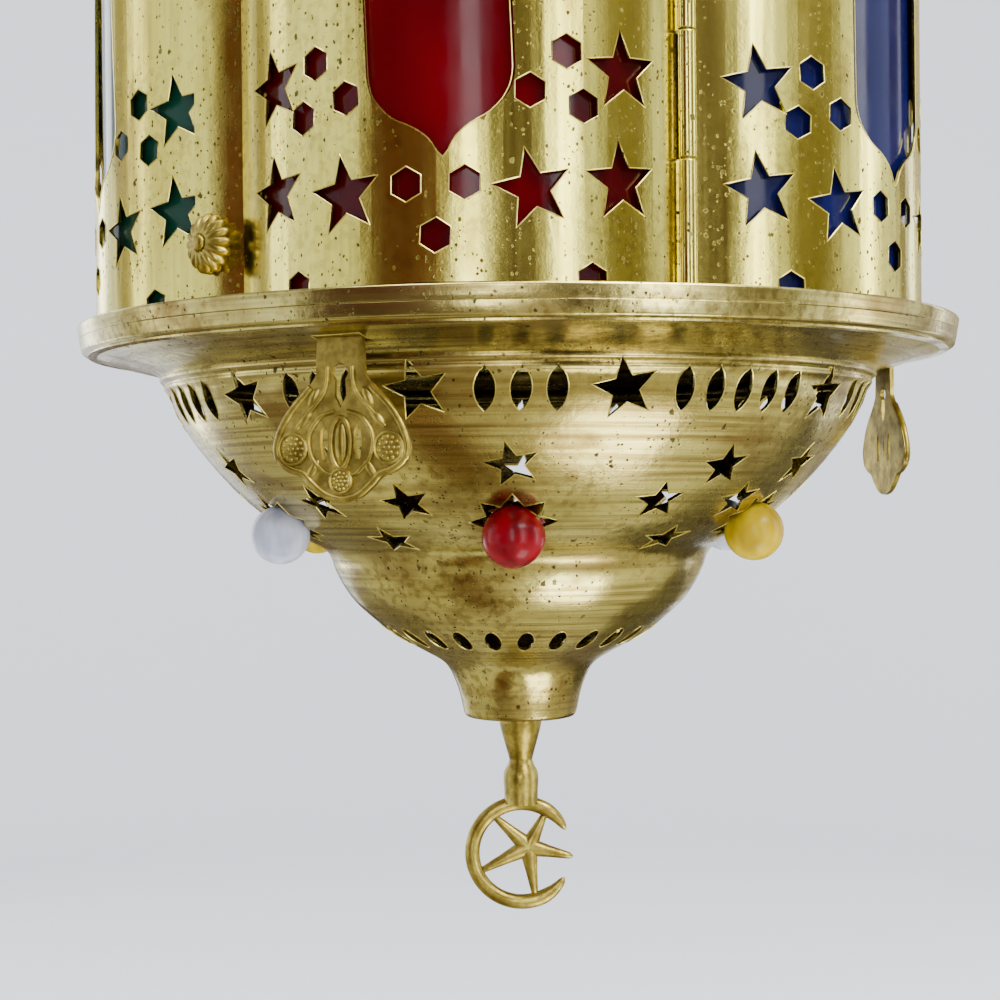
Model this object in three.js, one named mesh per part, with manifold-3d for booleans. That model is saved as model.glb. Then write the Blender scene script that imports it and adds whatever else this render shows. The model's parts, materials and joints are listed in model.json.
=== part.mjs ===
// Hanging lantern of pierced brass with coloured glass panes, in millimetres, +Z up.
// Heights are measured from the lower edge of the bowl's rim; the whole lantern is then
// lowered so that the origin lies where a hook bears in the hanging ring.

import * as THREE from 'three';
import { mergeVertices } from 'three/addons/utils/BufferGeometryUtils.js';
import Module from 'manifold-3d';

const wasm = await Module();
wasm.setup();

// Sheet, clearances and facets
const GAP = 0.3;
const SPUN_SHEET = 1;
const PANEL_SHEET = 0.8;
const CAME_SHEET = 0.8;
const GLASS_THICKNESS = 3;
const SPUN_SEGMENTS = 30;
const SMALL_SEGMENTS = 10;
const CUT_REACH = 6;
const SPIKE_LENGTH = 250;

// Rims and plates that the body stands between
const RIM_OVERHANG = 5;
const RIM_HEIGHT = 3.5;
const RIM_WIDTH = 2.4;
const PLATE_RIM_STEP = 0.4;
const PLATE_SHEET = 1;
const PLATE_LEDGE = 10;
const FLANGE_WIDTH = 21;
const FLANGE_SLOPE_HEIGHT = 5;

// Six-lobed body
const LOBE_COUNT = 6;
const LOBE_BREAKS = [12, 32.7];
const END_FACET_LENGTH = 9.88;
const CREASE_RADIUS = 107;
const CROWN_RISE = 13;
const BODY_HEIGHT = 150;
const CAME_WIDTH = 8;
const CAME_WEB = 1;
const PANE_INSET = 0.4;

// Pierced pattern of a body panel, from its centre line and from the rim's lower edge
const STAR_HEIGHT = 15.5;
const STAR_INNER_SHARE = 0.42;
const PANEL_STARS = [[22, 28.5], [43.5, 31], [44, 56]];
const WINDOW_TIP_HEIGHT = 35.8;
const WINDOW_HALF_WIDTH = 17;
const WINDOW_SHOULDER = 22;
const WINDOW_SIDE_SHARES = [[1, 0], [1, 0.32], [0.8, 0.5], [0.47, 0.62]];
const WINDOW_TIP_SHARES = [[0.47, 0.62], [0.24, 0.73], [0.09, 0.8], [0, 1]];

// Door in the front lobe
const LAP_WIDTH = 12;
const STILE_INSET = 1.6;
const STILE_WIDTH = 7.4;
const DOOR_CLEARANCE = 0.4;
const BARREL_RADIUS = 2.1;
const HINGE_PIN_RADIUS = 1;
const HINGE_NECK = 0.8;
const HINGE_LEAF = 1;
const KNUCKLE_COUNT = 5;
const KNUCKLE_GAP = 0.5;
const PIN_HEAD_RADIUS = 1.8;
const PIN_HEAD_HEIGHT = 1;
const KNOB_RADIUS = 7.5;
const KNOB_HEIGHT = 5;
const KNOB_FLUTES = 10;
const KNOB_FLUTE_DEPTH = 0.07;
const KNOB_ALONG_LAP = 7;
const KNOB_LEVEL = 22;
const KNOB_SHANK_RADIUS = 1.5;
const KNOB_NOSE_DEPTH = 0.5;
const KNOB_SOCKET_RADIUS = 2.5;

// Bowl: outer face from the flange's root to the neck, its radii as shares of the root's radius
const BOWL_SHARES = [
  0.9827, 0.9067, 0.8125, 0.7385, 0.5365, 0.4904, 0.4385, 0.2692, 0.2048, 0.1615, 0.1519,
];
const BOWL_HEIGHTS = [-6.6, -23, -36, -43, -56, -66, -73, -84.7, -89.5, -103.5, -104.5];
const BOWL_TURN = 7.6;
const TOP_ROW_LEVEL = -14.7;
const TOP_ROW_GAPS = [30, 29, 38, 30, 29, 38, 30, 29, 38, 34.5, 34.5];
const TOP_ROW_START = -43;
const ALMOND_WIDTH = 5.3;
const ALMOND_HEIGHT = 12;
const ALMOND_PITCH = 5;
const ALMOND_ROOM = 17;
const BOWL_STAR_HEIGHT = 15.5;
const SMALL_STAR_HEIGHT = 13.5;
const STAR_OVER_BEAD_LEVEL = -32.4;
const STAR_DIAMOND = [[0, -32.9], [-10, -41.6], [10, -41.6], [0, -51.5]];
const STAR_DIAMOND_TURNS = [38, 90, 150, 210, 270, 330];

// Beads set in eight-pointed cut-outs
const BEAD_RADIUS = 8;
const BEAD_LEVEL = -46.8;
const BEAD_STAND_OUT = 4.2;
const BEAD_BACK = 5.9;
const BURST_POINTS = 8;
const BURST_OUTER_RADIUS = 11.5;
const BURST_INNER_RADIUS = 7.4;
const STRAP_LENGTH = 29;
const STRAP_WIDTH = 4;
const STRAP_THICKNESS = 0.8;
const STRAP_TURN = 22.5;

// Cast pendants that hang through slots in the flange
const PENDANT_TURN = -12.7;
const PENDANT_ROW_INSET = 13;
const PENDANT_THICKNESS = 2.4;
const PENDANT_TAB_WIDTH = 12;
const PENDANT_EYE_RADIUS = 2.2;
const PENDANT_PIN_RADIUS = 1;
const PENDANT_PIN_LENGTH = 19;
const PENDANT_SLOT_WIDTH = 5.8;
const PENDANT_HALF_OUTLINE = [
  [6.3, 8.4], [9.5, 12.5], [15.6, 19.5], [17.6, 24], [17, 28], [13.4, 31], [10.4, 31.8], [7.5, 35], [3.5, 37.6],
];
const PENDANT_LENGTH = 38;
const KEYHOLE_RADIUS = 2.5;
const KEYHOLE_LEVEL = 7.8;
const KEYHOLE_ARC = [-50, 230];
const KEYHOLE_TAIL = [[-1.9, 13.5], [0, 16.4], [1.9, 13.5]];
const SLIT_PLACE = 4.6;
const SLIT_OUTLINE = [[0, 19.5], [-1, 23.7], [0, 28], [1, 23.7]];
const MEDALLION_RADIUS = 4.2;
const MEDALLION_RISE = 0.9;
const MEDALLION_PLACES = [[-12.4, 25.4], [12.4, 25.4], [0, 33]];
const MIDDLE_MEDALLION_SHARE = 0.8;

// Finial
const FINIAL_TURN = 8.6;
const FINIAL_SHANK_RADIUS = 2.5;
const FINIAL_SHANK_LENGTH = 8;
const FINIAL_STEM = [[6.2, 0], [6, 3], [4.6, 8], [3.6, 12.6], [3.8, 15], [5, 17], [4.8, 23], [4.2, 25.5]];
const CRESCENT_RADIUS = 14.5;
const CRESCENT_BAND = 4.5;
const CRESCENT_DEPTH = 3.4;
const CRESCENT_TIPS = [27, 329];
const CRESCENT_STEPS = 18;
const CRESCENT_TAPER = 26;
const FINIAL_STAR_CENTRE = [1.9, 1.6];
const FINIAL_STAR_ARMS = [-12.4, 63, 137.5, 206.6, 277.6];
const FINIAL_STAR_FREE_ARM = 13.4;
const FINIAL_STAR_VALLEY = 3.6;
const FINIAL_STAR_DEPTH = 3.4;
const FINIAL_NUT_WIDTH = 8;
const FINIAL_NUT_HEIGHT = 4;

// Cap above the body: outer face above its rim's upper edge, its radii as shares of the flange root's
const CAP_SHARES = [0.9712, 0.8942, 0.7692, 0.5962, 0.3077, 0.1923, 0.1587];
const CAP_HEIGHTS = [8, 23, 37, 50, 68, 83, 96];
const CAP_VENT_COUNT = 8;
const CAP_VENT_RADIUS = 4;
const CAP_VENT_LEVEL = 61;

// Lamp holder, bulb and hanging gear
const TUBE_RADIUS = 5;
const TUBE_BORE_RADIUS = 3.5;
const TUBE_ABOVE_CAP = 7;
const TUBE_BELOW_CAP = 62;
const LOCKNUT_WIDTH = 17;
const LOCKNUT_HEIGHT = 4;
const HOLDER_RADIUS = 20;
const HOLDER_LENGTH = 46;
const HOLDER_COLLAR_RADIUS = 8.5;
const HOLDER_COLLAR_LENGTH = 9;
const HOLDER_MOUTH_DEPTH = 30;
const HOLDER_SHOULDER = 5;
const BULB_PROFILE = [[13.2, 0], [13.2, 30], [20, 41], [28, 57], [30, 73], [26, 91], [14, 102], [0, 105]];
const LOOP_COLLAR_RADIUS = 8.5;
const LOOP_COLLAR_HEIGHT = 18;
const LOOP_BORE_DEPTH = 15;
const LOOP_EYE_RADIUS = 9.5;
const WIRE_RADIUS = 2.5;
const CORD_HOLE_RADIUS = 3.2;
const CORD_HOLE_LEVEL = 11;
const RING_RADIUS = 20;

// Heights and places that follow from the sizes above
const plateBottom = RIM_HEIGHT + GAP;
const plateTop = plateBottom + RIM_HEIGHT;
const panelBottom = plateTop + GAP;
const panelTop = panelBottom + BODY_HEIGHT;
const bodyMiddle = (panelBottom + panelTop) / 2;
const upperPlateTop = panelTop + GAP + RIM_HEIGHT;
const capRimTop = upperPlateTop + GAP + RIM_HEIGHT;
const neckBottom = BOWL_HEIGHTS[BOWL_HEIGHTS.length - 1];
const capTop = capRimTop + CAP_HEIGHTS[CAP_HEIGHTS.length - 1];
const holderTop = capTop - TUBE_BELOW_CAP + HOLDER_COLLAR_LENGTH;
const holderBottom = holderTop - HOLDER_LENGTH;
const bulbTop = holderBottom + HOLDER_MOUTH_DEPTH - GAP;
const collarTop = capTop + GAP + LOOP_COLLAR_HEIGHT;
const eyeHeight = collarTop + LOOP_EYE_RADIUS;
const swingHeight = eyeHeight + LOOP_EYE_RADIUS - 2 * WIRE_RADIUS - GAP;
const ringHeight = swingHeight + RING_RADIUS;
const hookHeight = ringHeight + RING_RADIUS - WIRE_RADIUS;

const crownRadius = CREASE_RADIUS + CROWN_RISE;
const rimRadius = crownRadius + RIM_OVERHANG;
const plateRimRadius = rimRadius - PLATE_RIM_STEP;
const plateHoleRadius = CREASE_RADIUS - PLATE_LEDGE;
const flangeRootRadius = rimRadius - FLANGE_WIDTH;
const pendantRowRadius = rimRadius - PENDANT_ROW_INSET;
const bowlProfile = BOWL_HEIGHTS.map((level, i) => [BOWL_SHARES[i] * flangeRootRadius, level]);
const capProfile = CAP_HEIGHTS.map((level, i) => [CAP_SHARES[i] * flangeRootRadius, level]);

const halfStep = Math.PI / LOBE_COUNT;
const halfChord = CREASE_RADIUS * Math.sin(halfStep);
const lobeRise = crownRadius - CREASE_RADIUS * Math.cos(halfStep);
const lobeRadius = (halfChord ** 2 + lobeRise ** 2) / (2 * lobeRise);
const lobeCentre = crownRadius - lobeRadius;
const lobeHalfAngle = Math.asin(halfChord / lobeRadius);
const endFacetStart = lobeHalfAngle - END_FACET_LENGTH / lobeRadius;
const lobeAngles = [...LOBE_BREAKS.map((across) => across / lobeRadius), endFacetStart];
const endFacetTurn = (lobeHalfAngle + endFacetStart) / 2;
const facetSlope = endFacetTurn - halfStep;

const cameFront = PANEL_SHEET + GAP;
const glassFront = cameFront + CAME_SHEET + GAP;
const glassBack = glassFront + GLASS_THICKNESS;
const cameInner = glassBack + GAP;
const cameBack = cameInner + CAME_SHEET;
const lapFront = -(GAP + PANEL_SHEET);
const seamInset = GAP / 2 / Math.cos(facetSlope);
const hingeEdgeInset = (HINGE_NECK / 2 + GAP) / Math.cos(facetSlope);
const hingeRadius = CREASE_RADIUS + (BARREL_RADIUS + GAP) / Math.cos(facetSlope);
const doorBottom = panelBottom + DOOR_CLEARANCE;
const doorTop = panelTop - DOOR_CLEARANCE;

const flangeSlope = FLANGE_SLOPE_HEIGHT / FLANGE_WIDTH;
const flangeBelowPendant = -PENDANT_ROW_INSET * flangeSlope;
const flangeSheetUpright = SPUN_SHEET * Math.hypot(1, flangeSlope);
const pendantPivotHeight = flangeBelowPendant + flangeSheetUpright + PENDANT_PIN_RADIUS + GAP;
const pendantDrop = pendantPivotHeight - flangeBelowPendant;

const radians = THREE.MathUtils.degToRad;

// Finishes
const finish = (color, roughness, metalness) => ({ color, roughness, metalness });
const SHEET_BRASS = finish(0xcdbd72, 0.3, 1);
const SPUN_BRASS = finish(0xc8b86a, 0.28, 1);
const CAST_BRASS = finish(0xa8904a, 0.42, 1);
const RED_GLASS = finish(0x7a0410, 0.08, 0);
const BLUE_GLASS = finish(0x1c2358, 0.08, 0);
const GREEN_GLASS = finish(0x163a30, 0.08, 0);
const RED_BEAD = finish(0xb01028, 0.15, 0);
const YELLOW_BEAD = finish(0xf0d010, 0.2, 0);
const WHITE_BEAD = finish(0xe4e4e8, 0.2, 0);
const FROSTED_GLASS = finish(0xf2f0e8, 0.5, 0);
const DARK_PLASTIC = finish(0x24201c, 0.45, 0);

// Solids

function closedMesh(geometry) {
  const bare = geometry.clone();
  bare.deleteAttribute('normal');
  bare.deleteAttribute('uv');
  const merged = mergeVertices(bare, 1e-4);
  const corners = merged.index.array;
  const kept = [];
  for (let i = 0; i < corners.length; i += 3) {
    const [a, b, c] = [corners[i], corners[i + 1], corners[i + 2]];
    if (a !== b && b !== c && c !== a) {
      kept.push(a, b, c);
    }
  }
  merged.setIndex(kept);
  return merged;
}

function toSolid(geometry) {
  const merged = closedMesh(geometry);
  return new wasm.Manifold(new wasm.Mesh({
    numProp: 3,
    vertProperties: Float32Array.from(merged.attributes.position.array),
    triVerts: Uint32Array.from(merged.index.array),
  }));
}

function toGeometry(solid) {
  const mesh = solid.getMesh();
  const geometry = new THREE.BufferGeometry();
  geometry.setAttribute('position', new THREE.BufferAttribute(Float32Array.from(mesh.vertProperties), 3));
  geometry.setIndex(Array.from(mesh.triVerts));
  return geometry;
}

function joined(...geometries) {
  let solid = toSolid(geometries[0]);
  for (const geometry of geometries.slice(1)) {
    solid = solid.add(toSolid(geometry));
  }
  return toGeometry(solid);
}

function pierced(geometry, cutters) {
  let solid = toSolid(geometry);
  for (const cutter of cutters) {
    solid = solid.subtract(toSolid(cutter));
  }
  return toGeometry(solid);
}

// Profile points are radius and height, with the metal on the left as the profile runs.
function spun(points, segments = SMALL_SEGMENTS) {
  const profile = points.map(([radius, height]) => new THREE.Vector2(radius, height));
  return new THREE.LatheGeometry(profile, segments).rotateX(Math.PI / 2);
}

function spunRing(points, segments) {
  return spun([...points, points[0]], segments);
}

function cylinder(radius, from, to, segments) {
  return spun([[0, from], [radius, from], [radius, to], [0, to]], segments);
}

function tube(outer, bore, from, to, segments) {
  return spunRing([[bore, from], [outer, from], [outer, to], [bore, to]], segments);
}

function polygon(points) {
  return new THREE.Shape(points.map(([x, y]) => new THREE.Vector2(x, y)));
}

function upright(shape, bottom, top) {
  const geometry = new THREE.ExtrudeGeometry(shape, { depth: top - bottom, bevelEnabled: false });
  return geometry.translate(0, 0, bottom);
}

function meshFrom(points, index) {
  const geometry = new THREE.BufferGeometry().setFromPoints(points);
  geometry.setIndex(index);
  return geometry;
}

// Skins a row of equal rings of points and closes both ends with fans.
function loft(rings) {
  const count = rings[0].length;
  const last = (rings.length - 1) * count;
  const index = [];
  for (let start = 0; start < last; start += count) {
    for (let i = 0; i < count; i += 1) {
      const next = (i + 1) % count;
      index.push(start + i, start + next, start + count + next);
      index.push(start + i, start + count + next, start + count + i);
    }
  }
  for (let i = 1; i + 1 < count; i += 1) {
    index.push(0, i + 1, i);
    index.push(last, last + i, last + i + 1);
  }
  return meshFrom(rings.flat(), index);
}

// Outlines of the cut-outs, each about its own centre

function pointed(outerRadius, innerRadius, points) {
  const outline = [];
  for (let i = 0; i < 2 * points; i += 1) {
    const radius = i % 2 === 0 ? outerRadius : innerRadius;
    const angle = Math.PI / 2 + (i * Math.PI) / points;
    outline.push([radius * Math.cos(angle), radius * Math.sin(angle)]);
  }
  return polygon(outline);
}

function fiveStar(height) {
  const outerRadius = height / (1 + Math.cos(Math.PI / 5));
  return pointed(outerRadius, outerRadius * STAR_INNER_SHARE, 5);
}

function roundOutline(radius, sides) {
  const outline = [];
  for (let i = 0; i < sides; i += 1) {
    const angle = Math.PI / 2 + (i * 2 * Math.PI) / sides;
    outline.push([radius * Math.cos(angle), radius * Math.sin(angle)]);
  }
  return polygon(outline);
}

function rectangle(width, height) {
  const [x, y] = [width / 2, height / 2];
  return polygon([[-x, -y], [x, -y], [x, y], [-x, y]]);
}

function almond() {
  const [x, y] = [ALMOND_WIDTH / 2, ALMOND_HEIGHT / 2];
  return polygon([[0, -y], [x, 0], [0, y], [-x, 0]]);
}

// One quarter of the window, from its side up to its tip, is an ogee; the other three mirror it.
function windowOutline() {
  const shoulder = bodyMiddle - WINDOW_TIP_HEIGHT - WINDOW_SHOULDER;
  const curve = (shares, steps) => {
    const controls = shares.map(([across, up]) => (
      new THREE.Vector2(WINDOW_HALF_WIDTH * across, shoulder + WINDOW_SHOULDER * up)
    ));
    return new THREE.CubicBezierCurve(...controls).getPoints(steps);
  };
  const upper = curve(WINDOW_SIDE_SHARES, 3);
  const peak = curve(WINDOW_TIP_SHARES, 2);
  const quarter = [...upper, ...peak.slice(1)].map((point) => [point.x, point.y]);
  const right = [...quarter.map(([x, y]) => [x, -y]).reverse(), ...quarter];
  const left = right.slice(1, -1).map(([x, y]) => [-x, y]).reverse();
  return polygon([...right, ...left]);
}

// A long spike with the outline as its section at the wall: x runs along the wall, y up it and z out.
// Its sides are single triangles, so a cut-out gets no corners besides those of its outline.
function cutter(outline, frame, reach = CUT_REACH) {
  const corners = outline.getPoints();
  const spread = 1 + reach / SPIKE_LENGTH;
  const points = corners.map((corner) => new THREE.Vector3(corner.x * spread, corner.y * spread, -reach));
  const tip = points.push(new THREE.Vector3(0, 0, SPIKE_LENGTH)) - 1;
  const index = [];
  for (const [a, b, c] of THREE.ShapeUtils.triangulateShape(corners, [])) {
    index.push(a, c, b);
  }
  for (let i = 0; i < tip; i += 1) {
    index.push(i, (i + 1) % tip, tip);
  }
  return meshFrom(points, index).applyMatrix4(frame);
}

function wallFrame(turn, radius, height, outRadial, outHeight) {
  const radial = new THREE.Vector3(Math.sin(turn), -Math.cos(turn), 0);
  const along = new THREE.Vector3(Math.cos(turn), Math.sin(turn), 0);
  const out = radial.clone().multiplyScalar(outRadial);
  out.z = outHeight;
  const up = new THREE.Vector3().crossVectors(out, along);
  const place = radial.multiplyScalar(radius);
  place.z = height;
  return new THREE.Matrix4().makeBasis(along, up, out).setPosition(place);
}

// Lobes: the front lobe faces -Y and the others are turned copies of it

// The lobe's arc as a chain of flat facets, from the left crease to the right one. Its breaks lie
// between the columns of stars.
function lobeChain() {
  const angles = [...lobeAngles, lobeHalfAngle];
  const turns = [...angles.map((angle) => -angle).reverse(), ...angles];
  return turns.map((turn) => [lobeRadius * Math.sin(turn), -lobeCentre - lobeRadius * Math.cos(turn)]);
}

// A point near a crease of the front lobe: side is -1 for the left crease and +1 for the right one,
// along runs from the crease towards the lobe's centre, and depth runs into the body.
function creasePoint(side, along, depth) {
  const angle = side * endFacetTurn;
  return [
    side * halfChord - side * along * Math.cos(angle) - depth * Math.sin(angle),
    -CREASE_RADIUS * Math.cos(halfStep) - side * along * Math.sin(angle) + depth * Math.cos(angle),
  ];
}

function lobeStrip(leftInset, rightInset, front, back) {
  const face = (depth) => [
    creasePoint(-1, leftInset, depth),
    ...offsetChain(lobeChain(), depth).slice(1, -1),
    creasePoint(1, rightInset, depth),
  ];
  return [...face(front), ...face(back).reverse()];
}

function panelFrame(across, height) {
  const frame = wallFrame(across / lobeRadius, lobeRadius, height, 1, 0);
  return new THREE.Matrix4().makeTranslation(0, -lobeCentre, 0).multiply(frame);
}

function panelCutters() {
  const star = fiveStar(STAR_HEIGHT);
  const cutters = [cutter(windowOutline(), panelFrame(0, bodyMiddle))];
  for (const half of [-1, 1]) {
    const level = (height) => bodyMiddle + half * (bodyMiddle - height);
    for (const side of [-1, 1]) {
      for (const [across, height] of PANEL_STARS) {
        cutters.push(cutter(star, panelFrame(side * across, level(height))));
      }
    }
  }
  return cutters;
}

function panelGeometry(leftInset, rightInset) {
  const strip = polygon(lobeStrip(leftInset, rightInset, 0, PANEL_SHEET));
  return pierced(upright(strip, panelBottom, panelTop), panelCutters());
}

// The knob's place on the lap, in the frame of the lobe to the left of the door.
function knobFrame(depth) {
  const [x, y] = creasePoint(1, KNOB_ALONG_LAP, depth);
  const frame = wallFrame(endFacetTurn, 0, 0, 1, 0);
  return frame.setPosition(x, y, KNOB_LEVEL);
}

function latchPanelGeometry() {
  const socket = cutter(roundOutline(KNOB_SOCKET_RADIUS, 8), knobFrame(0), 2);
  return pierced(panelGeometry(seamInset, seamInset), [socket]);
}

// Door: the front lobe's sheet, bent at the left crease into a lap over its neighbour

function fromLeftLobe([x, y]) {
  const turn = -2 * halfStep;
  return [x * Math.cos(turn) - y * Math.sin(turn), x * Math.sin(turn) + y * Math.cos(turn)];
}

// Where a face of the door at one depth meets a face of its lap at another depth.
function bendPoint(doorDepth, lapDepth) {
  const sideways = (doorDepth - lapDepth) / 2 / Math.sin(facetSlope);
  const outwards = CREASE_RADIUS - (lapDepth + doorDepth) / 2 / Math.cos(facetSlope);
  return [
    sideways * Math.cos(halfStep) - outwards * Math.sin(halfStep),
    -sideways * Math.sin(halfStep) - outwards * Math.cos(halfStep),
  ];
}

function doorOutline() {
  const strip = lobeStrip(0, hingeEdgeInset, 0, PANEL_SHEET);
  return polygon([
    fromLeftLobe(creasePoint(1, LAP_WIDTH, lapFront)),
    bendPoint(0, lapFront),
    ...strip.slice(1, -1),
    bendPoint(PANEL_SHEET, -GAP),
    fromLeftLobe(creasePoint(1, LAP_WIDTH, -GAP)),
  ]);
}

// Knuckles share the door's height; the even ones belong to the door and the odd ones to the post.
function knuckles(parity) {
  const pitch = (doorTop - doorBottom) / KNUCKLE_COUNT;
  const spans = [];
  for (let i = parity; i < KNUCKLE_COUNT; i += 2) {
    const from = doorBottom + i * pitch + (i > 0 ? KNUCKLE_GAP / 2 : 0);
    const topRoom = i === KNUCKLE_COUNT - 1 ? PIN_HEAD_HEIGHT + GAP : KNUCKLE_GAP / 2;
    spans.push([from, doorBottom + (i + 1) * pitch - topRoom]);
  }
  return spans;
}

function barrel(from, to) {
  const bore = HINGE_PIN_RADIUS + GAP;
  const solid = tube(BARREL_RADIUS, bore, from, to);
  return solid.translate(hingeRadius * Math.sin(halfStep), -hingeRadius * Math.cos(halfStep), 0);
}

function doorGeometry() {
  const pieces = [upright(doorOutline(), doorBottom, doorTop)];
  const leafTop = -(BARREL_RADIUS + GAP) + HINGE_PIN_RADIUS + 2 * GAP;
  const leafStart = hingeEdgeInset;
  const leaf = polygon([
    creasePoint(1, leafStart, PANEL_SHEET / 2),
    creasePoint(1, leafStart + HINGE_LEAF, PANEL_SHEET / 2),
    creasePoint(1, leafStart + HINGE_LEAF, leafTop),
    creasePoint(1, leafStart, leafTop),
  ]);
  for (const [from, to] of knuckles(0)) {
    pieces.push(barrel(from, to), upright(leaf, from, to));
  }
  const leftLobe = new THREE.Matrix4().makeRotationZ(-2 * halfStep);
  const shankHole = roundOutline(KNOB_SHANK_RADIUS + GAP, 8);
  const shankCutter = cutter(shankHole, leftLobe.multiply(knobFrame(lapFront)), 2);
  return pierced(joined(...pieces), [...panelCutters(), shankCutter]);
}

// A channel along each side edge of the door holds its pane.
function stileGeometry(side) {
  const [near, far] = [STILE_INSET, STILE_INSET + STILE_WIDTH];
  const outline = polygon([
    creasePoint(side, near, cameFront),
    creasePoint(side, far, cameFront),
    creasePoint(side, far, cameFront + CAME_SHEET),
    creasePoint(side, near + CAME_SHEET, cameFront + CAME_SHEET),
    creasePoint(side, near + CAME_SHEET, cameInner),
    creasePoint(side, far, cameInner),
    creasePoint(side, far, cameBack),
    creasePoint(side, near, cameBack),
  ]);
  return upright(outline, doorBottom, doorTop);
}

function paneGeometry(inset, bottom, top) {
  return upright(polygon(lobeStrip(inset, inset, glassFront, glassBack)), bottom, top);
}

// Fluted rosette with a plain shank; z runs out of the lap.
function knobGeometry() {
  const steps = [[0, 1, 0], [0.3, 1, 1], [0.72, 0.78, 2], [0.95, 0.42, 2], [1, 0.12, 0]];
  const rings = steps.map(([rise, share, fluting]) => {
    const ring = [];
    for (let i = 0; i < 2 * KNOB_FLUTES; i += 1) {
      const flute = i % 2 === 0 ? 1 : 1 - KNOB_FLUTE_DEPTH * fluting;
      const angle = (i * Math.PI) / KNOB_FLUTES;
      const radius = KNOB_RADIUS * share * flute;
      ring.push(new THREE.Vector3(radius * Math.cos(angle), radius * Math.sin(angle), KNOB_HEIGHT * rise));
    }
    return ring;
  });
  const shankEnd = lapFront - GAP - KNOB_NOSE_DEPTH;
  return joined(loft(rings), cylinder(KNOB_SHANK_RADIUS, shankEnd, KNOB_HEIGHT / 2, 8));
}

function hingePinGeometry() {
  const head = doorTop - PIN_HEAD_HEIGHT;
  const profile = [[0, doorBottom], [HINGE_PIN_RADIUS, doorBottom], [HINGE_PIN_RADIUS, head]];
  return spun([...profile, [PIN_HEAD_RADIUS, head], [PIN_HEAD_RADIUS, doorTop], [0, doorTop]], 8);
}

// Corner posts: came strips whose channels hold the panes; each is drawn as if its crease faced -Y

function postPoint(side, along, depth) {
  const across = side * (along * Math.cos(facetSlope) + depth * Math.sin(facetSlope));
  const outwards = CREASE_RADIUS + along * Math.sin(facetSlope) - depth * Math.cos(facetSlope);
  return [across, -outwards];
}

function webPoint(across, depth) {
  const outwards = CREASE_RADIUS - depth / Math.cos(facetSlope) + Math.abs(across) * Math.tan(facetSlope);
  return [across, -outwards];
}

function postSide(side, hasChannel) {
  const edge = side * CAME_WEB / 2;
  if (!hasChannel) {
    return [webPoint(edge, cameFront), webPoint(edge, cameBack)];
  }
  return [
    postPoint(side, CAME_WIDTH, cameFront),
    postPoint(side, CAME_WIDTH, cameFront + CAME_SHEET),
    webPoint(edge, cameFront + CAME_SHEET),
    webPoint(edge, cameInner),
    postPoint(side, CAME_WIDTH, cameInner),
    postPoint(side, CAME_WIDTH, cameBack),
  ];
}

function postGeometry(leftChannel, rightChannel) {
  const right = postSide(1, rightChannel);
  const left = postSide(-1, leftChannel).reverse();
  const outline = polygon([webPoint(0, cameFront), ...right, webPoint(0, cameBack), ...left]);
  return upright(outline, panelBottom, panelTop);
}

function hingePostGeometry() {
  const pieces = [postGeometry(false, true)];
  const half = HINGE_NECK / 2;
  const root = -(CREASE_RADIUS - cameFront - CAME_SHEET);
  const tip = -(hingeRadius - HINGE_PIN_RADIUS - 2 * GAP);
  const neck = polygon([[-half, root], [-half, tip], [half, tip], [half, root]]);
  for (const [from, to] of knuckles(1)) {
    pieces.push(upright(neck, from, to));
    pieces.push(barrel(from, to).rotateZ(-halfStep));
  }
  return joined(...pieces);
}

// Spun pieces

function offsetChain(chain, distance) {
  const normal = ([r0, z0], [r1, z1]) => {
    const length = Math.hypot(r1 - r0, z1 - z0);
    return [(z0 - z1) / length, (r1 - r0) / length];
  };
  return chain.map((point, i) => {
    const before = normal(chain[Math.max(i - 1, 0)], chain[Math.max(i, 1)]);
    const after = normal(chain[Math.min(i, chain.length - 2)], chain[Math.min(i + 1, chain.length - 1)]);
    const scale = distance / (1 + before[0] * after[0] + before[1] * after[1]);
    return [point[0] + (before[0] + after[0]) * scale, point[1] + (before[1] + after[1]) * scale];
  });
}

// A spun shell hanging from a rim: the profile is mirrored upwards for the cap.
function shellProfile(profile, holeRadius, upwards) {
  const flip = upwards ? -1 : 1;
  const bottom = profile.map(([radius, height]) => [radius, height * flip]);
  const end = [holeRadius, bottom[bottom.length - 1][1]];
  const chain = [[rimRadius, 0], [flangeRootRadius, -FLANGE_SLOPE_HEIGHT], ...bottom, end];
  const inner = offsetChain(chain, -SPUN_SHEET);
  const rimInside = rimRadius - RIM_WIDTH;
  const rimRoot = inner[0][1] - (inner[0][0] - rimInside) * flangeSlope;
  const section = [
    [rimInside, RIM_HEIGHT], [rimInside, rimRoot], ...inner.slice(1),
    ...chain.slice().reverse(), [rimRadius, RIM_HEIGHT],
  ];
  const turned = section.map(([radius, height]) => [radius, height * flip]);
  return upwards ? turned.reverse() : turned;
}

// The outer face of a spun shell at one height, as a frame for cut-outs.
function shellFrame(profile, degrees, height) {
  const i = profile.findIndex(([, h], k) => k > 0 && (h - height) * (profile[k - 1][1] - height) <= 0);
  const [[r0, h0], [r1, h1]] = [profile[i - 1], profile[i]];
  const length = Math.hypot(r1 - r0, h1 - h0);
  const side = Math.sign(h1 - h0);
  const radius = r0 + ((r1 - r0) * (height - h0)) / (h1 - h0);
  return wallFrame(radians(degrees), radius, height, (side * (h1 - h0)) / length, (side * (r0 - r1)) / length);
}

function bowlFrame(degrees, height) {
  return shellFrame(bowlProfile, degrees, height);
}

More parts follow.
